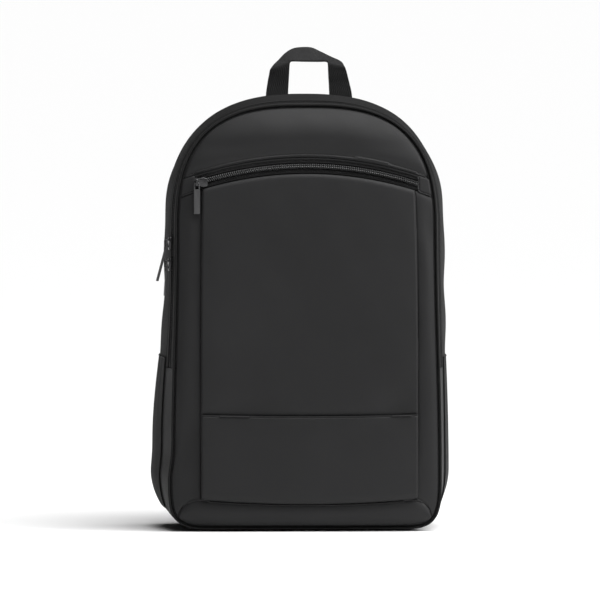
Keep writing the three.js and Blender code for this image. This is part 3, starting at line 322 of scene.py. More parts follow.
def face_reach(x, z):
    narrowed = ease((z - CORNER_TALL) / (SHOULDER_Z - CORNER_TALL))
    side = lerp(OUTLINES["front"]["half"], OUTLINES["front"]["shoulder"], narrowed)
    foot = np.clip(1 - (z - FRONT_FOOT) / (CORNER_TALL / 2), 0, 1)
    low = (np.minimum(np.abs(x) / side, 1) ** 4 + foot ** 4) ** 0.25
    power = OUTLINES["front"]["arch"]
    up = np.clip((z - SHOULDER_Z) / (OUTLINES["front"]["top"] - SHOULDER_Z), 0, 2)
    high = (np.minimum(np.abs(x) / OUTLINES["front"]["shoulder"], 1) ** power + up ** power) ** (1 / power)
    return np.where(z <= SHOULDER_Z, low, high)


def dent(x, z):
    total = 0 * x
    for across, up, wide, tall, deep in DENT_ROWS:
        a = (x / OUTLINES["front"]["half"] - across) / wide
        b = (z / BODY_HEIGHT - up) / tall
        total = total + deep * np.exp(-a * a - b * b)
    return total


def face_y(x, z):
    reach = np.minimum(face_reach(x, z), 1)
    return front_edge_y(z) - FACE_CROWN * (1 - reach ** 5) + dent(x, z)


def sagged(apex):
    return lambda x: apex - SEAM_RADIUS + np.sqrt(SEAM_RADIUS ** 2 - x * x)


window_top = sagged(WINDOW_TOP_Z)
window_foot = sagged(WINDOW_FOOT_Z)
window_coil = sagged(WINDOW_COIL_Z)


def slip_seam(x):
    return SLIP_Z + SLIP_END_RISE * (x / POCKET_RIGHT) ** 2


def base_seam(x):
    return BASE_SEAM_Z + BASE_SEAM_RISE * (x / POCKET_LEFT) ** 2


def pocket_edge(side, z):
    lean = POCKET_TOP_PULL_IN * np.maximum(0, (z - SLIP_Z) / (WINDOW_FOOT_Z - SLIP_Z)) ** 3
    return -(POCKET_LEFT - lean / 2) if side < 0 else POCKET_RIGHT - lean


def face_rim(side, way, room=0.0):
    """The face's rim, just inside the piping."""
    step = 0.02
    way = np.asarray(way, float)
    x, z = outline_point("front", side, way, FRONT_FOOT)
    ax, az = outline_point("front", side, np.maximum(way - step, 0), FRONT_FOOT)
    bx, bz = outline_point("front", side, np.minimum(way + step, 4), FRONT_FOOT)
    inward = side * (PIPING_RADIUS + RIM_ROOM - room) / np.hypot(bx - ax, bz - az)
    return np.stack([x - inward * (bz - az), z + inward * (bx - ax)], axis=-1)


def rim_both(place):
    """The rim from -4 at the left foot over the top to 4, or under the bag with the same numbering."""
    place = np.atleast_1d(np.asarray(place, float))
    return np.array([face_rim(-1.0 if p < 0 else 1.0, abs(p)) for p in place])


def way_at_window(seam):
    low, high = 3.0, 4.0
    while high - low > 1e-4:
        way = (low + high) / 2
        x, z = face_rim(1.0, way)
        low, high = (way, high) if z < seam(x) else (low, way)
    return low


def base_seam_point(share):
    side = -1.0 if share < 0.5 else 1.0
    out = abs(share - 0.5) * 2
    if out <= BASE_SEAM_LEVEL:
        x = side * POCKET_LEFT * out / BASE_SEAM_LEVEL
        return np.array([x, base_seam(x)])
    across, up = rounded_quarter((out - BASE_SEAM_LEVEL) / (1 - BASE_SEAM_LEVEL), 2)
    foot = face_rim(side, BASE_SEAM_WAY)
    x, z = side * POCKET_LEFT, base_seam(POCKET_LEFT)
    return np.array([x + (foot[0] - x) * up, foot[1] + (z - foot[1]) * across])


def four_sided(foot, top, left, right, us, vs):
    """A grid blended between four edges, each a list of (x, z) at us or vs."""
    u, v = us[None, :, None], vs[:, None, None]
    corners = lerp(lerp(foot[0], foot[-1], u), lerp(top[0], top[-1], u), v)
    return lerp(foot[None], top[None], v) + lerp(left[:, None], right[:, None], u) - corners


# Mesh building

class Shape:
    """Collects points, faces, lengths along the cloth and looks for one piece."""

    def __init__(self):
        self.points, self.faces, self.uvs, self.marks, self.count = [], [], [], [], 0

    def add(self, points, faces, uv, mark=0):
        self.points.append(np.asarray(points, float).reshape(-1, 3))
        self.uvs.append(np.asarray(uv, float).reshape(-1, 2))
        self.faces += (np.asarray(faces) + self.count).tolist()
        self.marks += [mark] * len(faces)
        self.count += len(self.points[-1])

    def wall(self, outer, thickness):
        """A closed wall from a grid of points on its outer face."""
        outer = np.asarray(outer, float)
        normal = unit(np.cross(np.gradient(outer, axis=1), np.gradient(outer, axis=0)))
        facing = np.sum(normal * (HEART - outer), axis=-1, keepdims=True)
        self.between(outer, outer + normal * np.sign(facing) * thickness)

    def between(self, outer, inner):
        """A closed solid between two grids of points."""
        rows, columns = outer.shape[:2]
        index = np.arange(rows * columns).reshape(rows, columns)
        front = quads(index)
        back = quads(index)[:, ::-1] + rows * columns
        loop = np.concatenate([index[0], index[1:, -1], index[-1, -2::-1], index[-2:0:-1, 0]])
        nxt = np.roll(loop, -1)
        rim = np.stack([nxt, loop, loop + rows * columns, nxt + rows * columns], axis=1)
        uv = lengths(outer)
        self.add(np.concatenate([outer.reshape(-1, 3), inner.reshape(-1, 3)]),
                 np.concatenate([front, back, rim]), np.concatenate([uv, uv]))

    def rings(self, rings, closed=False, caps=True, mark=0):
        """A loft through rings of points."""
        rings = np.asarray(rings, float)
        count, sides = rings.shape[:2]
        index = np.arange(count * sides).reshape(count, sides)
        wrapped = np.concatenate([index, index[:, :1]], axis=1)
        if closed:
            wrapped = np.concatenate([wrapped, wrapped[:1]], axis=0)
        self.add(rings.reshape(-1, 3), quads(wrapped), lengths(rings), mark)
        if caps and not closed:
            for ring in (rings[0], rings[-1]):
                middle = ring.mean(axis=0)
                around_it = np.arange(sides)
                fan = np.stack([around_it, np.roll(around_it, -1), np.full(sides, sides)], axis=1)
                self.add(np.concatenate([ring, middle[None]]), fan, np.zeros((sides + 1, 2)), mark)

    def tube(self, path, radius, sides=10, closed=False, reference=REAR, mark=0):
        path = np.asarray(path, float)
        if closed:
            ahead = np.roll(path, -1, axis=0) - np.roll(path, 1, axis=0)
        else:
            ahead = np.gradient(path, axis=0)
        ahead = unit(ahead)
        first = unit(np.cross(ahead, reference))
        second = np.cross(ahead, first)
        angles = np.linspace(0, 2 * math.pi, sides, endpoint=False)
        ring = np.cos(angles)[None, :, None] * first[:, None]
        ring = ring + np.sin(angles)[None, :, None] * second[:, None]
        radius = np.broadcast_to(np.asarray(radius, float), (len(path),))
        self.rings(path[:, None] + ring * radius[:, None, None], closed, mark=mark)

    def stitches(self, path, out, pitch=3.2, long=2.2, radius=0.28, mark=1):
        """Single stitches along a path, each a small thread that dips into the cloth at both ends."""
        path = resampled(path, pitch / 4)
        out = np.broadcast_to(unit(np.asarray(out, float)), path.shape)
        span = 4
        ahead = unit(np.gradient(path, axis=0))
        for i in range(0, len(path) - span, span):
            middle = path[i + span // 2]
            a, n = ahead[i + span // 2], out[i + span // 2]
            w = unit(np.cross(a, n))
            ring = []
            for share, lift in ((-0.5, -0.7), (-0.3, 0.5), (0.3, 0.5), (0.5, -0.7)):
                c = middle + a * share * long + n * lift * radius
                ring.append([c + w * radius, c + n * radius, c - w * radius, c - n * radius])
            self.rings(ring, mark=mark)


def quads(index):
    return np.stack([index[:-1, :-1], index[:-1, 1:], index[1:, 1:], index[1:, :-1]], axis=-1).reshape(-1, 4)


def lengths(grid):
    u = np.moveaxis(along(grid, 1), 0, 1)
    v = along(grid, 0)
    return np.stack([u, v], axis=-1).reshape(-1, 2)


def piece(name, shape, looks, nodes=(), body="bag", sharp=38):
    """Makes one Blender object of a shape and puts it in the frame."""
    mesh = bpy.data.meshes.new(name)
    points = (np.concatenate(shape.points) + ORIGIN) * MM
    mesh.from_pydata(points.tolist(), [], shape.faces)
    for look in looks:
        mesh.materials.append(look)
    mesh.polygons.foreach_set("material_index", np.array(shape.marks, np.int32))
    uv_of_point = np.concatenate(shape.uvs) * MM
    corner = np.zeros(len(mesh.loops), np.int32)
    mesh.loops.foreach_get("vertex_index", corner)
    layer = mesh.uv_layers.new(name="cloth")
    layer.data.foreach_set("uv", uv_of_point[corner].ravel().astype(np.float32))
    work = bmesh.new()
    work.from_mesh(mesh)
    bmesh.ops.recalc_face_normals(work, faces=work.faces)
    work.to_mesh(mesh)
    work.free()
    mesh.shade_smooth()
    mesh.set_sharp_from_angle(angle=math.radians(sharp))
    obj = bpy.data.objects.new(name, mesh)
    bpy.context.scene.collection.objects.link(obj)
    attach(obj, body)
    if nodes:
        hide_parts(*nodes)
    return obj


# Materials

class Look:
    """A node material under construction."""

    def __init__(self, name, color, roughness, **values):
        self.material = bpy.data.materials.new(name)
        self.material.use_nodes = True
        self.tree = self.material.node_tree
        self.shader = self.tree.nodes["Principled BSDF"]
        self.set(self.shader, "Base Color", (*color, 1))
        self.set(self.shader, "Roughness", roughness)
        for key, value in values.items():
            self.set(self.shader, key.replace("_", " "), value)
        self.place = self.tree.nodes.new("ShaderNodeTexCoord")
        self.height = None

    def set(self, node, key, value):
        socket = node.inputs[key]
        if isinstance(value, bpy.types.NodeSocket):
            self.tree.links.new(value, socket)
        else:
            socket.default_value = value

    def node(self, kind, settings=None, **inputs):
        made = self.tree.nodes.new("ShaderNode" + kind)
        for key, value in (settings or {}).items():
            setattr(made, key, value)
        for key, value in inputs.items():
            numbered = key[0] == "i" and key[1:].isdigit()
            self.set(made, int(key[1:]) if numbered else key.replace("_", " "), value)
        return made

    def noise(self, scale, detail=2.0):
        place = self.place.outputs["Object"]
        return self.node("TexNoise", Vector=place, Scale=scale, Detail=detail).outputs["Fac"]

    def bands(self, pitch, axis):
        """Ribs at a pitch in millimetres, across or along the cloth."""
        wave = self.node("TexWave", {"wave_type": "BANDS", "bands_direction": axis},
                         Vector=self.place.outputs["UV"], Scale=math.pi / 10 / (pitch * MM))
        return wave.outputs["Fac"]

    def ranged(self, value, low, high):
        return self.node("MapRange", i0=value, i3=low, i4=high).outputs[0]

    def maths(self, kind, a, b):
        return self.node("Math", {"operation": kind}, i0=a, i1=b).outputs[0]

    def tint(self, value, low, high):
        ramp = self.node("ValToRGB", Fac=value)
        ramp.color_ramp.elements[0].color = (*low, 1)
        ramp.color_ramp.elements[1].color = (*high, 1)
        ramp.color_ramp.elements[0].position = 0.25
        ramp.color_ramp.elements[1].position = 0.75
        self.set(self.shader, "Base Color", ramp.outputs["Color"])

    def bump(self, value, distance, strength=1.0):
        made = self.node("Bump", Height=value, Distance=distance * MM, Strength=strength)
        if self.height is not None:
            self.set(made, "Normal", self.height)
        self.height = made.outputs["Normal"]
        self.set(self.shader, "Normal", self.height)


def grey(value, warm=1.0):
    return (value * warm, value, value * 1.03)


def coated_look(name, shine):
    look = Look(name, grey(0.0135), 0.48, Specular_IOR_Level=shine, Sheen_Weight=0.02, Sheen_Roughness=0.5)
    look.tint(look.noise(9, 3), grey(0.012), grey(0.015))
    look.set(look.shader, "Roughness", look.ranged(look.noise(40, 4), 0.44, 0.56))
    weave = look.maths("MULTIPLY", look.bands(0.7, "X"), look.bands(0.7, "Y"))
    look.bump(weave, 0.03)
    look.bump(look.noise(60, 3), 0.12)
    return look.material


def nylon_look(name, value, pitch, rough=0.72):
    look = Look(name, grey(value), rough, Specular_IOR_Level=0.2, Sheen_Weight=0.02, Sheen_Roughness=0.4)
    weave = look.maths("MULTIPLY", look.bands(pitch, "X"), look.bands(pitch, "Y"))
    mottle = look.maths("MULTIPLY", look.noise(30, 3), 0.5)
    shade = look.maths("ADD", look.maths("MULTIPLY", weave, 0.6), mottle)
    look.tint(shade, grey(value * 0.7), grey(value * 1.35))
    look.bump(weave, 0.14)
    look.bump(look.noise(25, 3), 0.4)
    return look.material


def ribbed_look(name, value, across, along_it):
    look = Look(name, grey(value), 0.78, Specular_IOR_Level=0.22, Sheen_Weight=0.03, Sheen_Roughness=0.4)
    rib, weft = look.bands(across, "X"), look.bands(along_it, "Y")
    weave = look.maths("ADD", look.maths("MULTIPLY", rib, 0.65), look.maths("MULTIPLY", weft, 0.35))
    look.tint(weave, grey(value * 0.6), grey(value * 1.5))
    look.bump(weave, 0.2)
    look.bump(look.noise(40, 2), 0.2)
    return look.material


def mesh_look():
    look = Look("air_mesh", grey(0.014), 0.85, Specular_IOR_Level=0.2, Sheen_Weight=0.06, Sheen_Roughness=0.5)
    holes = look.node("TexVoronoi", {"feature": "F1"}, Vector=look.place.outputs["UV"], Scale=420,
                      Randomness=0.25).outputs["Distance"]
    look.tint(holes, grey(0.004), grey(0.022))
    look.bump(holes, -0.6)
    return look.material


def hard_look(name, value, rough, metal, grain):
    look = Look(name, grey(value), rough, Metallic=metal)
    look.tint(look.noise(150, 3), grey(value * 0.88), grey(value * 1.12))
    look.set(look.shader, "Roughness", look.ranged(look.noise(500, 3), rough - 0.06, rough + 0.08))
    look.bump(look.noise(1400, 2), grain)
    return look.material


LOOKS = {
    "coated": coated_look("coated_fabric", 0.17),
    "strip": coated_look("coated_strip", 0.08),
    "nylon": nylon_look("nylon_cloth", 0.007, 0.9),
    "pocket": nylon_look("pocket_cloth", 0.004, 1.6),
    "tape": ribbed_look("zip_tape", 0.006, 1.0, 0.8),
    "webbing": ribbed_look("webbing", 0.012, 1.9, 1.1),
    "piping": nylon_look("piping_cloth", 0.005, 0.7, 0.7),
    "mesh": mesh_look(),
    "coil": hard_look("coil_nylon", 0.012, 0.34, 0.0, 0.02),
    "thread": hard_look("thread", 0.02, 0.6, 0.0, 0.05),
    "metal": hard_look("slider_metal", 0.05, 0.3, 0.85, 0.02),
    "pull": hard_look("pull_enamel", 0.04, 0.5, 0.2, 0.02),
    "plastic": hard_look("buckle_plastic", 0.014, 0.5, 0.0, 0.03),
}


# Panels

def rolled(distance, radius, depth):
    share = np.clip(1 - distance / radius, 0, 1)
    return depth * (1 - np.sqrt(1 - share ** 2 * 0.999))


def edge_distance(flat):
    """How far each point of a grid of (x, z) lies from the grid's ends, across and up."""
    across = np.moveaxis(along(flat, 1), 0, 1)
    upward = along(flat, 0)
    return np.minimum(across, across[:, -1:] - across), upward, upward[-1:] - upward


def ripple(x, z, deep=0.25):
    """The slight waviness of cloth that isn't under tension."""
    return deep * (np.sin(x / 17.0 + 1.7 * np.sin(z / 41.0)) * np.sin(z / 29.0 + 1.3)
                   + 0.6 * np.sin(x / 9.0 + z / 13.0) * np.sin(x / 31.0 - 0.7))


def face_panel(flat, raise_by=0.0, side_roll=SEAM_ROLL, foot_roll=SEAM_ROLL, top_roll=SEAM_ROLL, waves=0.25):
    sides, foot, top = edge_distance(flat)
    x, z = flat[..., 0], flat[..., 1]
    inside = ease(np.minimum(np.minimum(sides, foot), top) / 14.0)
    y = face_y(x, z) - raise_by + ripple(x, z, waves) * inside
    y = y + rolled(sides, *side_roll) + rolled(foot, *foot_roll) + rolled(top, *top_roll)
    return np.stack([x, y, z], axis=-1)


def add_yoke():
    us, vs = crowded(72), crowded(30)
    end = way_at_window(window_top) + 0.004
    left, right = face_rim(-1.0, end), face_rim(1.0, end)
    xs = lerp(left[0], right[0], us)
    foot = np.stack([xs, window_top(xs) + GAP / 2], axis=-1)
    corner = 3.55

    def rim(side, start):
        shift = start - face_rim(side, end)
        return face_rim(side, lerp(end, corner, vs)) + shift * (1 - vs[:, None])

    places = lerp(corner - 4, 4 - corner, us)
    top = np.array([face_rim(-1.0 if p < 0 else 1.0, 4 - abs(p)) for p in places])
    flat = four_sided(foot, top, rim(-1.0, foot[0]), rim(1.0, foot[-1]), us, vs)
    shape = Shape()
    grid = face_panel(flat, foot_roll=(14.0, 3.6))
    grid[..., 1] -= YOKE_SWELL * np.sin(math.pi * vs[:, None] ** 0.8) * np.sin(math.pi * us[None]) ** 0.5
    shape.wall(grid, CLOTH)
    seam = grid[3:4][0] + np.array([0, -0.1, 0.6])
    shape.stitches(seam[4:-4], (0, -1, 0))
    piece("yoke", shape, [LOOKS["coated"], LOOKS["thread"]], ["yoke_panel"])


def window_xs(count):
    return lerp(-WINDOW_LEFT + GAP, WINDOW_RIGHT - GAP, even(count))


def add_window():
    xs = window_xs(110)
    for name, low, high in (
        ("upper", lambda x: window_coil(x) + COIL_WIDE / 2, lambda x: window_top(x) - GAP),
        ("lower", lambda x: window_foot(x) + GAP, lambda x: window_coil(x) - COIL_WIDE / 2),
    ):
        vs = even(6)[:, None]
        z = lerp(low(xs)[None], high(xs)[None], vs)
        x = np.broadcast_to(xs, z.shape)
        grid = np.stack([x, face_y(x, z) + WINDOW_SUNK, z], axis=-1)
        shape = Shape()
        shape.wall(grid, TAPE)
        beads = WINDOW_BEADS[name]
        for drop, sunk, radius in beads:
            edge_z = (high(xs) - drop) if name == "upper" else (low(xs) + drop)
            cord = np.stack([xs, face_y(xs, edge_z) + sunk, edge_z], axis=-1)
            shape.tube(cord, radius, 8)
        row_z = lerp(low(xs), high(xs), 0.5)
        row = np.stack([xs, face_y(xs, row_z) + 1.5, row_z], axis=-1)
        shape.stitches(row, (0, -1, 0), 2.6, 1.8, 0.22)
        piece("zip_window_tape_" + name, shape, [LOOKS["tape"], LOOKS["thread"]],
              ["pocket_zip_tape_" + name])
    middle = np.stack([xs, face_y(xs, window_coil(xs)) + 0.2, window_coil(xs)], axis=-1)
    normals = np.broadcast_to(np.array([0, -1.0, 0]), middle.shape)
    shape = Shape()
    add_coil(shape, middle, normals, 2.0)
    piece("pocket_coil", shape, [LOOKS["coil"]], ["pocket_zip_coil"])


def add_coil(shape, path, outs, pitch=1.5):
    """Two rows of coil loops that mesh along the middle."""
    both = resampled(np.concatenate([path, outs], axis=1), pitch / 4)
    path, outs = both[:, :3], unit(both[:, 3:])
    ahead = unit(np.gradient(path, axis=0))
    wide = unit(np.cross(ahead, outs))
    phase = np.arange(len(path)) * (2 * math.pi / 4)
    across = np.array([-1, -0.92, -0.7, -0.4, -0.12, 0.12, 0.4, 0.7, 0.92, 1])
    hump = np.array([0, 0.5, 0.85, 1, 0.75, 0.75, 1, 0.85, 0.5, 0])
    turn = np.where(across < 0, 0.0, math.pi)
    loops = 0.5 + 0.5 * np.cos(phase[:, None] + turn[None, :])
    height = hump[None] * (0.5 + 1.1 * loops)
    half = (COIL_WIDE - 2 * GAP) / 2
    grid = path[:, None] + wide[:, None] * (across * half)[None, :, None] + outs[:, None] * height[..., None]
    rows, columns = grid.shape[:2]
    floor = grid - outs[:, None] * (height + 0.9)[..., None]
    index = np.arange(rows * columns).reshape(rows, columns)
    ring_top, ring_low = index, index + rows * columns
    sides = [np.stack([ring_top[:-1, k], ring_top[1:, k], ring_low[1:, k], ring_low[:-1, k]], axis=1)
             for k in (0, columns - 1)]
    ends = [np.stack([ring_top[r, :-1], ring_top[r, 1:], ring_low[r, 1:], ring_low[r, :-1]], axis=1)
            for r in (0, rows - 1)]
    faces = np.concatenate([quads(ring_top), quads(ring_low), *sides, *ends])
    uv = lengths(grid)
    shape.add(np.concatenate([grid.reshape(-1, 3), floor.reshape(-1, 3)]), faces, np.concatenate([uv, uv]))


def add_window_ends():
    for side, name in ((-1.0, "left"), (1.0, "right")):
        inner = -WINDOW_LEFT - GAP if side < 0 else WINDOW_RIGHT + GAP
        ways = lerp(way_at_window(window_foot) + 0.008, way_at_window(window_top) - 0.008, crowded(16))
        outer = face_rim(side, ways)
        us = crowded(12)[None, :]
        x = lerp(inner, outer[:, :1], us)
        z = lerp(window_foot(x) + GAP, window_top(x) - GAP, crowded(16)[:, None])
        shape = Shape()
        shape.wall(face_panel(np.stack([x, z], axis=-1), side_roll=(2, 0.8), foot_roll=(2, 0.8),
                              top_roll=(2, 0.8), waves=0.1), CLOTH)
        piece("zip_end_tab_" + name, shape, [LOOKS["coated"]], ["pocket_zip_end_" + name])


def add_side_panels():
    for side, name in ((-1.0, "left"), (1.0, "right")):
        us, vs = crowded(22), crowded(80)
        top_way, foot_way = way_at_window(window_foot) - 0.006, BASE_SEAM_WAY + 0.01
        edge = lambda z: pocket_edge(side, z) + side * GAP
        corner = (1 - BASE_SEAM_LEVEL) / 2
        shares = corner * (1 - us) if side < 0 else 1 - corner * (1 - us)
        lift = np.stack([0 * us, 0 * us + 1.5 * GAP], axis=-1)
        foot = np.array([base_seam_point(s) for s in shares]) + lift
        foot[:, 0] += (edge(foot[0, 1]) - foot[:, 0]) * (1 - us) ** 8
        rim_top = face_rim(side, top_way)
        start = edge(window_foot(pocket_edge(side, WINDOW_FOOT_Z)))
        xs = lerp(start, rim_top[0], us)
        top = np.stack([xs, window_foot(xs) - GAP], axis=-1)
        zs = lerp(foot[0, 1], top[0, 1], vs)
        inner = np.stack([edge(zs), zs], axis=-1)
        outer = face_rim(side, lerp(foot_way, top_way, vs))
        outer = outer + (foot[-1] - outer[0]) * (1 - vs[:, None]) ** 6
        flat = four_sided(foot, top, inner, outer, us, vs)
        shape = Shape()
        grid = face_panel(flat, side_roll=(1.6, 0.8), foot_roll=(2.4, 1.0), top_roll=(6.0, 1.8), waves=0.4)
        grid[..., 1] -= SIDE_SWELL * (np.sin(math.pi * us) * np.sin(math.pi * vs[:, None]) ** 0.4)
        shape.wall(grid, CLOTH)
        piece("front_side_" + name, shape, [LOOKS["coated"]], ["side_panel_" + name])


def raised_flat(foot, top, columns, rows):
    us, vs = crowded(columns), crowded(rows)
    grid = np.zeros((rows + 1, columns + 1, 2))
    for r, v in enumerate(vs):
        middle = lerp(SLIP_Z, WINDOW_FOOT_Z, v)
        x = lerp(pocket_edge(-1, middle), pocket_edge(1, middle), us)
        z = lerp(foot(x), top(x), v)
        grid[r, :, 1] = z
        grid[r, :, 0] = lerp(pocket_edge(-1, z), pocket_edge(1, z), us)
    return grid


def with_walls(grid, back_by):
    """Adds a column at each side that goes back to the face."""
    left, right = grid[:, :1].copy(), grid[:, -1:].copy()
    left[..., 1] += back_by
    right[..., 1] += back_by
    return np.concatenate([left, grid, right], axis=1)


def add_pocket():
    flat = raised_flat(lambda x: slip_seam(x) + GAP / 2, lambda x: window_foot(x) - GAP, 84, 84)
    grid = face_panel(flat, POCKET_RAISE, side_roll=(2.0, 2.6), foot_roll=(14.0, 2.8),
                      top_roll=(5.0, 2.4), waves=0.3)
    shape = Shape()
    shape.wall(with_walls(grid, 3.0), CLOTH)
    piece("pocket_front", shape, [LOOKS["coated"]], ["pocket_front_panel"])
    flat = raised_flat(lambda x: base_seam(x) + GAP / 2, lambda x: slip_seam(x) - GAP / 2, 84, 40)
    grid = face_panel(flat, POCKET_RAISE + SLIP_RAISE, side_roll=(2.0, 3.2), foot_roll=(7.0, 4.6),
                      top_roll=(1.2, 1.2), waves=0.3)
    shape = Shape()
    shape.wall(with_walls(grid, 3.4), CLOTH)
    piece("slip_pocket", shape, [LOOKS["coated"]], ["slip_pocket_panel"])


def add_base_wrap():
    us, vs = crowded(120), crowded(18)
    us = lerp(0.004, 0.996, us)
    low = rim_both(lerp(-BASE_SEAM_WAY, BASE_SEAM_WAY, us))
    seam = np.array([base_seam_point(u) for u in us])
    ends = np.abs(2 * us - 1) ** 6
    flat = np.stack([lerp(low[:, 0], seam[:, 0], vs[:, None]),
                     lerp(low[:, 1], seam[:, 1] - GAP * (1 - ends), vs[:, None])], axis=-1)
    x, z = flat[..., 0], flat[..., 1]
    sides, foot, top = edge_distance(flat)
    y = face_y(x, z) - 2.4 * np.sin(math.pi * vs)[:, None] + rolled(foot, 2.4, 1.0) + rolled(top, 2.4, 1.2)
    shape = Shape()
    shape.wall(np.stack([x, y, z], axis=-1), CLOTH)
    piece("base_front", shape, [LOOKS["coated"]], ["base_wrap"])


# Gusset and main zip

def outline_loop(back, count, lift):
    ways = np.concatenate([np.linspace(0.2, 1, 4), np.linspace(1, 2, 12)[1:], np.linspace(2, 3, 12)[1:],
                           np.linspace(3, 4, 16)[1:]])
    left = skin(-1.0, ways[:-1], back)
    right = skin(1.0, ways[::-1], back)
    loop = np.concatenate([left, right])
    loop[:, 2] = np.maximum(loop[:, 2], lift)
    return smoothed(loop, count, closed=True)


def add_piping():
    for name, back, node in (("front", 0.0, "front_piping"), ("rear", 1.0, "rear_piping")):
        shape = Shape()
        radius = PIPING_SLIM if back == 0 else PIPING_RADIUS
        shape.tube(outline_loop(back, 420, PIPING_RADIUS + GAP), radius, 12, closed=True)
        loop = outline_loop(back, 240, PIPING_RADIUS + GAP)
        inward = unit((HEART - loop) * np.array([1, 0, 1]))
        sunk = np.array([0, ALLOWANCE_SUNK if back == 0 else -ALLOWANCE_SUNK, 0])
        rows = [loop + sunk + inward * share for share in (0.0, ALLOWANCE / 2, ALLOWANCE)]
        flange = np.stack(rows, axis=1)
        flange = np.concatenate([flange, flange[:1]])
        shape.wall(flange, ALLOWANCE_THICK)
        piece("seam_piping_" + name, shape, [LOOKS["piping"]], [node])


def side_places(from_z, to_z, count):
    return 4 - np.linspace(way_at_height(from_z), way_at_height(to_z), count + 1)


def arch_places(end_z, side_count, arch_count):
    left = side_places(end_z, SHOULDER_Z, side_count)
    arch = np.linspace(-1, 1, arch_count + 1)[1:-1]
    return np.concatenate([-left, arch, left[::-1]])


def pushed_out(points, swell, waves):
    """Pushes a grid of skin points out by swell and waves."""
    normal = unit(np.cross(np.gradient(points, axis=1), np.gradient(points, axis=0)))
    out = -normal * np.sign(np.sum(normal * (HEART - points), axis=-1, keepdims=True))
    return points + out * (swell + waves)[..., None]


def band(places, low, high, columns):
    backs = lerp(low, high, crowded(columns))
    return around(np.asarray(places)[:, None], backs[None, :])


def add_backing(shape, grid):
    """A hidden strip under a seam's gap, as the seam allowance is."""
    shape.wall(pushed_out(grid, np.full(grid.shape[:2], -BACKING_SUNK), 0), BACKING_THICK)


def add_main_zip():
    places = arch_places(ZIP_END_Z, 60, 110)
    for name, low, high, node in (
        ("front", FRONT_SHARE, FRONT_SHARE + TAPE_SHARE, "main_zip_tape_front"),
        ("rear", REAR_TAPE_FROM, REAR_TAPE_TO, "main_zip_tape_rear"),
    ):
        grid = band(places, low, high, 8)
        shape = Shape()
        shape.wall(grid, TAPE)
        inner = -2 if name == "front" else 2
        shape.tube(grid[:, inner], 0.8, 6)
        coil_middle = COIL_FROM + COIL_SHARE / 2
        ends = (0.0, coil_middle) if name == "front" else (coil_middle, GUSSET_FROM + 2 * CLEAR_SHARE)
        add_backing(shape, band(places, *ends, 3))
        piece("main_tape_" + name, shape, [LOOKS["tape"], LOOKS["thread"]], [node])
    middle = around(places, COIL_FROM + COIL_SHARE / 2)
    beside = around(places, COIL_FROM + COIL_SHARE / 2 + 0.01)
    ahead = unit(np.gradient(middle, axis=0))
    outs = unit(np.cross(ahead, unit(beside - middle)))
    outs = outs * -np.sign(np.sum(outs * (HEART - middle), axis=-1, keepdims=True))
    shape = Shape()
    add_coil(shape, middle - outs * MAIN_COIL_SUNK, outs, 1.7)
    piece("main_coil", shape, [LOOKS["coil"]], ["main_zip_coil"])


def add_gussets():
    shape = Shape()
    half = np.concatenate([even(8), lerp(1, 2, even(20))[1:],
                           lerp(2, way_at_height(ZIP_END_Z - 2 * GAP), even(26))[1:]])
    places = np.concatenate([-half[:0:-1], half])
    backs = lerp(FRONT_SHARE, REAR_TAPE_TO, crowded(14))
    grid = under(places[:, None], backs[None, :])
    shape.wall(grid, CLOTH)
    add_backing(shape, under(places[:, None], lerp(0.0, FRONT_SHARE + 4 * CLEAR_SHARE, even(2))[None, :]))
    piece("gusset_strip", shape, [LOOKS["strip"]], ["lower_gusset"])
    places = arch_places(CORNER_TALL + GAP, 90, 120)
    grid = band(places, GUSSET_FROM, REAR_SHARE, 26)
    shares = crowded(26)[None, :]
    swell = 1.6 * np.sin(math.pi * shares) ** 0.6 * ease((np.abs(grid[..., 0]) / 60)) + 0 * grid[..., 0]
    waves = 0.7 * np.sin(grid[..., 2] / 11.0 + 3 * shares) * np.sin(math.pi * shares)
    shape = Shape()
    shape.wall(pushed_out(grid, swell, waves * ease(np.abs(grid[..., 0]) / 60)), CLOTH)
    add_backing(shape, band(places, REAR_SHARE - 4 * CLEAR_SHARE, 1.0, 3))
    piece("gusset_rear", shape, [LOOKS["nylon"]], ["rear_gusset"])
    half = np.concatenate([even(10), lerp(1, 2, even(20))[1:]])
    half[-1] = way_at_height(CORNER_TALL - GAP)
    places = np.concatenate([-half[:0:-1], half])
    grid = under(places[:, None], lerp(GUSSET_FROM, REAR_SHARE, crowded(20))[None, :])
    shape = Shape()
    shape.wall(grid, CLOTH)
    piece("base_cloth", shape, [LOOKS["nylon"]], ["base_panel"])


def add_side_pockets():
    low, high = REAR_TAPE_TO + 2 * CLEAR_SHARE, REAR_SHARE - 2 * CLEAR_SHARE
    for side, name in ((-1.0, "left"), (1.0, "right")):
        ways = np.linspace(1.6, way_at_height(SIDE_POCKET_TOP_Z), 60)
        backs = lerp(low, high, crowded(26))
        grid = skin(side, ways[:, None], backs[None, :])
        shares = crowded(26)[None, :]
        up = even(59)[:, None]
        gathers = 0.6 * np.sin(shares * 34) * ease((up - 0.55) / 0.45) * np.sin(math.pi * shares)
        swell = 1.5 + 1.8 * np.sin(math.pi * shares) * np.sin(math.pi * np.clip(up * 0.9 + 0.1, 0, 1))
        shape = Shape()
        pushed = pushed_out(grid, swell, gathers)
        shape.wall(pushed, 1.0)
        piece("side_pocket_cloth_" + name, shape, [LOOKS["pocket"]], ["side_pocket_" + name])
        mouth = pushed[-1] + np.array([-side * 0.5, 0, 0.8])
        shape = Shape()
        shape.tube(smoothed(mouth, 60), BINDING_RADIUS, 10, reference=UP)
        piece("side_pocket_edge_" + name, shape, [LOOKS["webbing"]],
              ["side_pocket_binding_" + name])


# Back, straps and handle

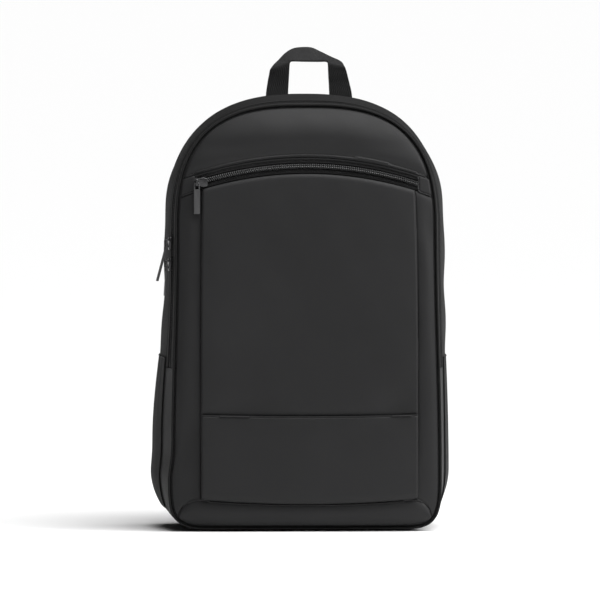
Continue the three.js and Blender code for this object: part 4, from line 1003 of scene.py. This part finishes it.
def add_back():
    us, vs = crowded(70), crowded(96)

    def rim(side, way):
        p = skin(side, way, 1.0)
        return np.array([p[0] * BACK_SHARE, BODY_HEIGHT / 2 + (p[2] - BODY_HEIGHT / 2) * BACK_SHARE])

    foot = np.array([rim(-1.0 if a < 0 else 1.0, abs(a)) for a in lerp(-1.5, 1.5, us)])
    top = np.array([rim(-1.0 if a < 0 else 1.0, 4 - abs(a)) for a in lerp(-0.5, 0.5, us)])
    left = np.array([rim(-1.0, a) for a in lerp(1.5, 3.5, vs)])
    right = np.array([rim(1.0, a) for a in lerp(1.5, 3.5, vs)])
    flat = four_sided(foot, top, left, right, us, vs)
    x, z = flat[..., 0], flat[..., 1]
    sides, low, high = edge_distance(flat)
    inside = np.minimum(np.minimum(sides, low), high)
    channel = lambda value, wide: np.exp(-(value / wide) ** 2)
    grooves = 3.2 * channel(x, 9) + 2.6 * channel(z - 130 - 0.0006 * x * x, 6) + 2.6 * channel(z - 262, 6)
    grooves = grooves * ease((inside - 6) / 14)
    y = BACK_FACE_Y + 0.6 - rolled(inside, 9, 8) - grooves - 1.4 * (1 - ease(inside / 34))
    grid = np.stack([x, y, z], axis=-1)
    back = grid.copy()
    back[..., 1] = BACK_LINING_Y
    shape = Shape()
    shape.between(grid, back)
    obj = piece("back_pad", shape, [LOOKS["mesh"], LOOKS["thread"]], ["back_panel"])


def ribbon(shape, centres, across, wide, thickness, pitch=1.9, mark=0):
    """Webbing swept along a path, with ribs along its length."""
    centres, across = np.asarray(centres, float), np.asarray(across, float)
    ahead = unit(np.gradient(centres, axis=0))
    side = unit(across - ahead * np.sum(across * ahead, axis=1, keepdims=True))
    half = side * wide / 2
    ribbed_strip(shape, centres - half, centres + half, thickness, pitch, mark)


def ribbed_strip(shape, left, right, thickness, pitch=1.9, mark=0):
    """Webbing between its two edges."""
    middle, half = (left + right) / 2, (right - left) / 2
    wide = 2 * np.median(np.linalg.norm(half, axis=1))
    normal = unit(np.cross(half, np.gradient(middle, axis=0)))
    a = np.linspace(-1, 1, int(wide / pitch) * 4 + 1)
    edge = np.clip((1 - np.abs(a)) * wide / 2 / 0.6, 0, 1)
    rib = 0.13 * np.cos(a * wide * math.pi / pitch)
    n = (thickness / 2 - 0.13 + rib) * np.sqrt(np.clip(1 - (1 - edge) ** 2, 0.02, 1))
    a, n = np.concatenate([a, a[::-1][1:-1]]), np.concatenate([n, -n[::-1][1:-1]])
    rings = middle[:, None] + half[:, None] * a[None, :, None] + normal[:, None] * n[None, :, None]
    shape.rings(rings, mark=mark)


def add_handle():
    half = HANDLE_SPAN / 2
    seat = BACK_FACE_Y + GAP + HANDLE_THICK / 2
    rows = smoothed(HANDLE_ROWS, 160)
    inner, outer = [
        np.stack([HANDLE_SHIFT + edge[:, 0] * half, seat + edge[:, 2] * HANDLE_LEAN,
                  HANDLE_SEAT_Z + edge[:, 1] * HANDLE_RISE], axis=-1)
        for edge in (rows[:, :3], rows[:, 3:])
    ]
    shape = Shape()
    ribbed_strip(shape, inner, outer, HANDLE_THICK)
    for side in (-1, 1):
        x = HANDLE_SHIFT + side * half
        box = [(-7, 3), (7, 3), (7, 20), (-7, 20), (-7, 3), (7, 20), (7, 3), (-7, 20)]
        row = np.array([[x + a, seat + HANDLE_THICK / 2, HANDLE_SEAT_Z + b] for a, b in box])
        shape.stitches(row, (0, 1, 0))
    piece("carry_handle", shape, [LOOKS["webbing"], LOOKS["thread"]], ["top_handle"])


def add_straps():
    foot = LOCK_Z + LOCK_TALL / 2 + 3 * GAP
    seat = BACK_FACE_Y + GAP + STRAP_THICK / 2
    for side, name in ((-1, "left"), (1, "right")):
        stations = []
        for up, out, stand, skew, wide in STRAP_ROWS:
            x, z = side * lerp(STRAP_TOP_X, LOCK_X, out), lerp(foot, STRAP_TOP_Z, up)
            stations.append([x, seat + stand * STRAP_STAND, z, 1, 0, side * skew, STRAP_WIDE * wide])
        path = smoothed(stations, 110)
        centres, across, wide = path[:, :3], path[:, 3:6], path[:, 6]
        ahead = unit(np.gradient(centres, axis=0))
        lateral = unit(across - ahead * np.sum(across * ahead, axis=1, keepdims=True))
        normal = np.cross(lateral, ahead)
        angles = np.linspace(0, 2 * math.pi, 48, endpoint=False)
        a = np.sign(np.cos(angles)) * np.abs(np.cos(angles)) ** 0.35
        n = np.sign(np.sin(angles)) * np.abs(np.sin(angles)) ** 0.9
        groove = 1 - 0.22 * np.exp(-((np.abs(a) - 0.82) / 0.07) ** 2)
        rings = (centres[:, None] + lateral[:, None] * (a[None] * wide[:, None] / 2)[..., None]
                 + normal[:, None] * (n * groove * STRAP_THICK / 2)[None, :, None])
        shape = Shape()
        shape.rings(rings)
        for edge in (-1, 1):
            shape.tube(centres + lateral * (edge * (wide / 2 - 0.6))[:, None], 1.7, 8, mark=2)
            row = centres + lateral * (edge * wide * 0.41)[:, None] - normal * STRAP_THICK * 0.38
            shape.stitches(row[3:-3], -normal.mean(axis=0))
        obj = piece("padded_strap_" + name, shape, [LOOKS["mesh"], LOOKS["thread"], LOOKS["webbing"]],
                    ["shoulder_strap_" + name])
        add_web(side, name)
        add_anchor(side, name)


def lock_centre_y():
    return BACK_FACE_Y + GAP + STRAP_THICK / 2 + STRAP_ROWS[0][2] * STRAP_STAND


def add_web(side, name):
    lock_y = lock_centre_y()
    turn_radius = LOCK_THICK / 2 + GAP + WEB_THICK / 2
    bar_top = LOCK_Z + LOCK_BAR / 2 - 1
    anchor_y = BACK_FACE_Y + 2 * GAP + ANCHOR_THICK + WEB_THICK / 2
    rise = [
        (ANCHOR_X, anchor_y, ANCHOR_Z - ANCHOR_SIZE / 4),
        (ANCHOR_X - 1, anchor_y, ANCHOR_Z + ANCHOR_SIZE / 4),
        ((ANCHOR_X + LOCK_X) / 2, (anchor_y + lock_y - turn_radius) / 2, (ANCHOR_Z + bar_top) / 2),
        (LOCK_X, lock_y - turn_radius, LOCK_Z - LOCK_TALL / 2),
    ]
    angles = math.pi * even(6)
    turn = [(LOCK_X, lock_y - turn_radius * math.cos(a), bar_top + turn_radius * math.sin(a)) for a in angles]
    tail = [(LOCK_X, lock_y + turn_radius, bar_top - WEB_TAIL * t) for t in (0.3, 0.65, 1)]
    path = smoothed([(side * x, y, z) for x, y, z in rise + turn + tail], 110)
    shape = Shape()
    ribbon(shape, path, np.broadcast_to(np.array([1.0, 0, 0]), path.shape), WEB_WIDE, WEB_THICK)
    end = path[-1]
    row = np.array([[end[0] - 10, end[1] + 0.8, end[2] + 5], [end[0] + 10, end[1] + 0.8, end[2] + 5]])
    shape.stitches(row, (0, 1, 0))
    piece("adjuster_web_" + name, shape, [LOOKS["webbing"], LOOKS["thread"]],
          ["strap_web_" + name])


def add_anchor(side, name):
    half = ANCHOR_SIZE / 2
    corners = half * np.array([(-0.8, 1), (0.4, 0.8), (0.8, -1), (-0.8, -1)])
    us, vs = even(20), even(20)
    a, b, c, d = corners
    flat = lerp(lerp(a, b, us[None, :, None]), lerp(d, c, us[None, :, None]), vs[:, None, None])
    x = side * (ANCHOR_X + flat[..., 0])
    z = ANCHOR_Z - flat[..., 1]
    y = np.full_like(x, BACK_FACE_Y + GAP + ANCHOR_THICK)
    shape = Shape()
    shape.wall(np.stack([x, y, z], axis=-1), ANCHOR_THICK)
    piece("anchor_tab_" + name, shape, [LOOKS["webbing"]], ["strap_anchor_" + name], sharp=60)


# Hard pieces: the part's own solids with their edges eased

def eased_copy(node, name, look, body, width):
    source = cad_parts[node]
    work = bmesh.new()
    work.from_mesh(source.data)
    bmesh.ops.remove_doubles(work, verts=work.verts, dist=1e-6)
    bmesh.ops.dissolve_limit(work, angle_limit=math.radians(2), verts=work.verts, edges=work.edges)
    hard = [e for e in work.edges if len(e.link_faces) == 2 and e.calc_face_angle(0) > math.radians(35)]
    bmesh.ops.bevel(work, geom=hard, offset=width * MM, segments=3, profile=0.5, affect="EDGES")
    mesh = bpy.data.meshes.new(name)
    work.to_mesh(mesh)
    work.free()
    mesh.materials.clear()
    mesh.materials.append(look)
    mesh.shade_smooth()
    mesh.set_sharp_from_angle(angle=math.radians(50))
    obj = bpy.data.objects.new(name, mesh)
    bpy.context.scene.collection.objects.link(obj)
    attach(obj, body)
    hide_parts(node)
    return obj


def add_hard_pieces():
    for name in ("pocket", "main_upper", "main_lower"):
        eased_copy(name + "_slider", name + "_slider_body", LOOKS["metal"], "bag", 0.8)
        eased_copy(name + "_pull", name + "_pull_tab", LOOKS["pull"], name + "_pull", 0.35)
    for name in ("left", "right"):
        eased_copy("ladder_lock_" + name, "strap_adjuster_" + name, LOOKS["plastic"],
                   "bag", 0.8)


# Stage

def aim(obj, target):
    direction = Vector(target) - obj.location
    obj.rotation_mode = "QUATERNION"
    obj.rotation_quaternion = direction.to_track_quat("-Z", "Y")


def add_light(name, place, target, size, power):
    data = bpy.data.lights.new(name, "AREA")
    data.shape = "RECTANGLE"
    data.size, data.size_y = size
    data.energy = power
    light = bpy.data.objects.new(name, data)
    bpy.context.scene.collection.objects.link(light)
    light.location = place
    aim(light, target)


def add_sun(toward, power, spread):
    data = bpy.data.lights.new("sky", "SUN")
    data.energy = power
    data.angle = math.radians(spread)
    light = bpy.data.objects.new("sky", data)
    bpy.context.scene.collection.objects.link(light)
    light.location = toward
    aim(light, (0, 0, 0))


def add_stage():
    mesh = bpy.data.meshes.new("floor")
    far = 40.0
    points = [(x, y, 0.0) for y in (-far, far) for x in (-far, far)]
    faces = [(0, 1, 3, 2)]
    mesh.from_pydata(points, [], faces)
    floor = bpy.data.objects.new("floor", mesh)
    bpy.context.scene.collection.objects.link(floor)
    look = Look("studio_paper", (0.9, 0.9, 0.9), 0.9)
    mesh.materials.append(look.material)
    world = bpy.context.scene.world or bpy.data.worlds.new("studio")
    bpy.context.scene.world = world
    world.use_nodes = True
    world.node_tree.nodes["Background"].inputs["Color"].default_value = (1, 1, 1, 1)
    world.node_tree.nodes["Background"].inputs["Strength"].default_value = 0.02
    bpy.context.scene.view_settings.view_transform = "Standard"
    middle = (0, 0, 0.22)
    add_light("key", (1.3, -0.55, 0.85), middle, (0.7, 0.7), 12.5)
    add_light("top", (0.35, -0.65, 2.0), (0, 0.0, 0.2), (1.2, 0.7), 14)
    add_light("front", (0.3, -2.0, 1.6), (0, -1.0, 0.0), (2.4, 0.8), 2)
    add_sun((0.4, -0.25, 1.0), 3.95, 75)


def add_camera():
    azimuth, elevation = math.radians(-1.6), math.radians(3)
    distance, across = 12.0, 0.6
    target = Vector((-0.0017, -0.073, 0.232))
    back = Vector((math.sin(azimuth) * math.cos(elevation), -math.cos(azimuth) * math.cos(elevation),
                   math.sin(elevation)))
    data = bpy.data.cameras.new("camera")
    data.sensor_width = 36
    data.lens = data.sensor_width * distance / across
    camera = bpy.data.objects.new("camera", data)
    bpy.context.scene.collection.objects.link(camera)
    camera.location = target + back * distance
    aim(camera, target)
    bpy.context.scene.camera = camera


add_stage()
add_camera()
add_yoke()
add_window()
add_window_ends()
add_side_panels()
add_pocket()
add_base_wrap()
add_piping()
add_main_zip()
add_gussets()
add_side_pockets()
add_back()
add_handle()
add_straps()
add_hard_pieces()
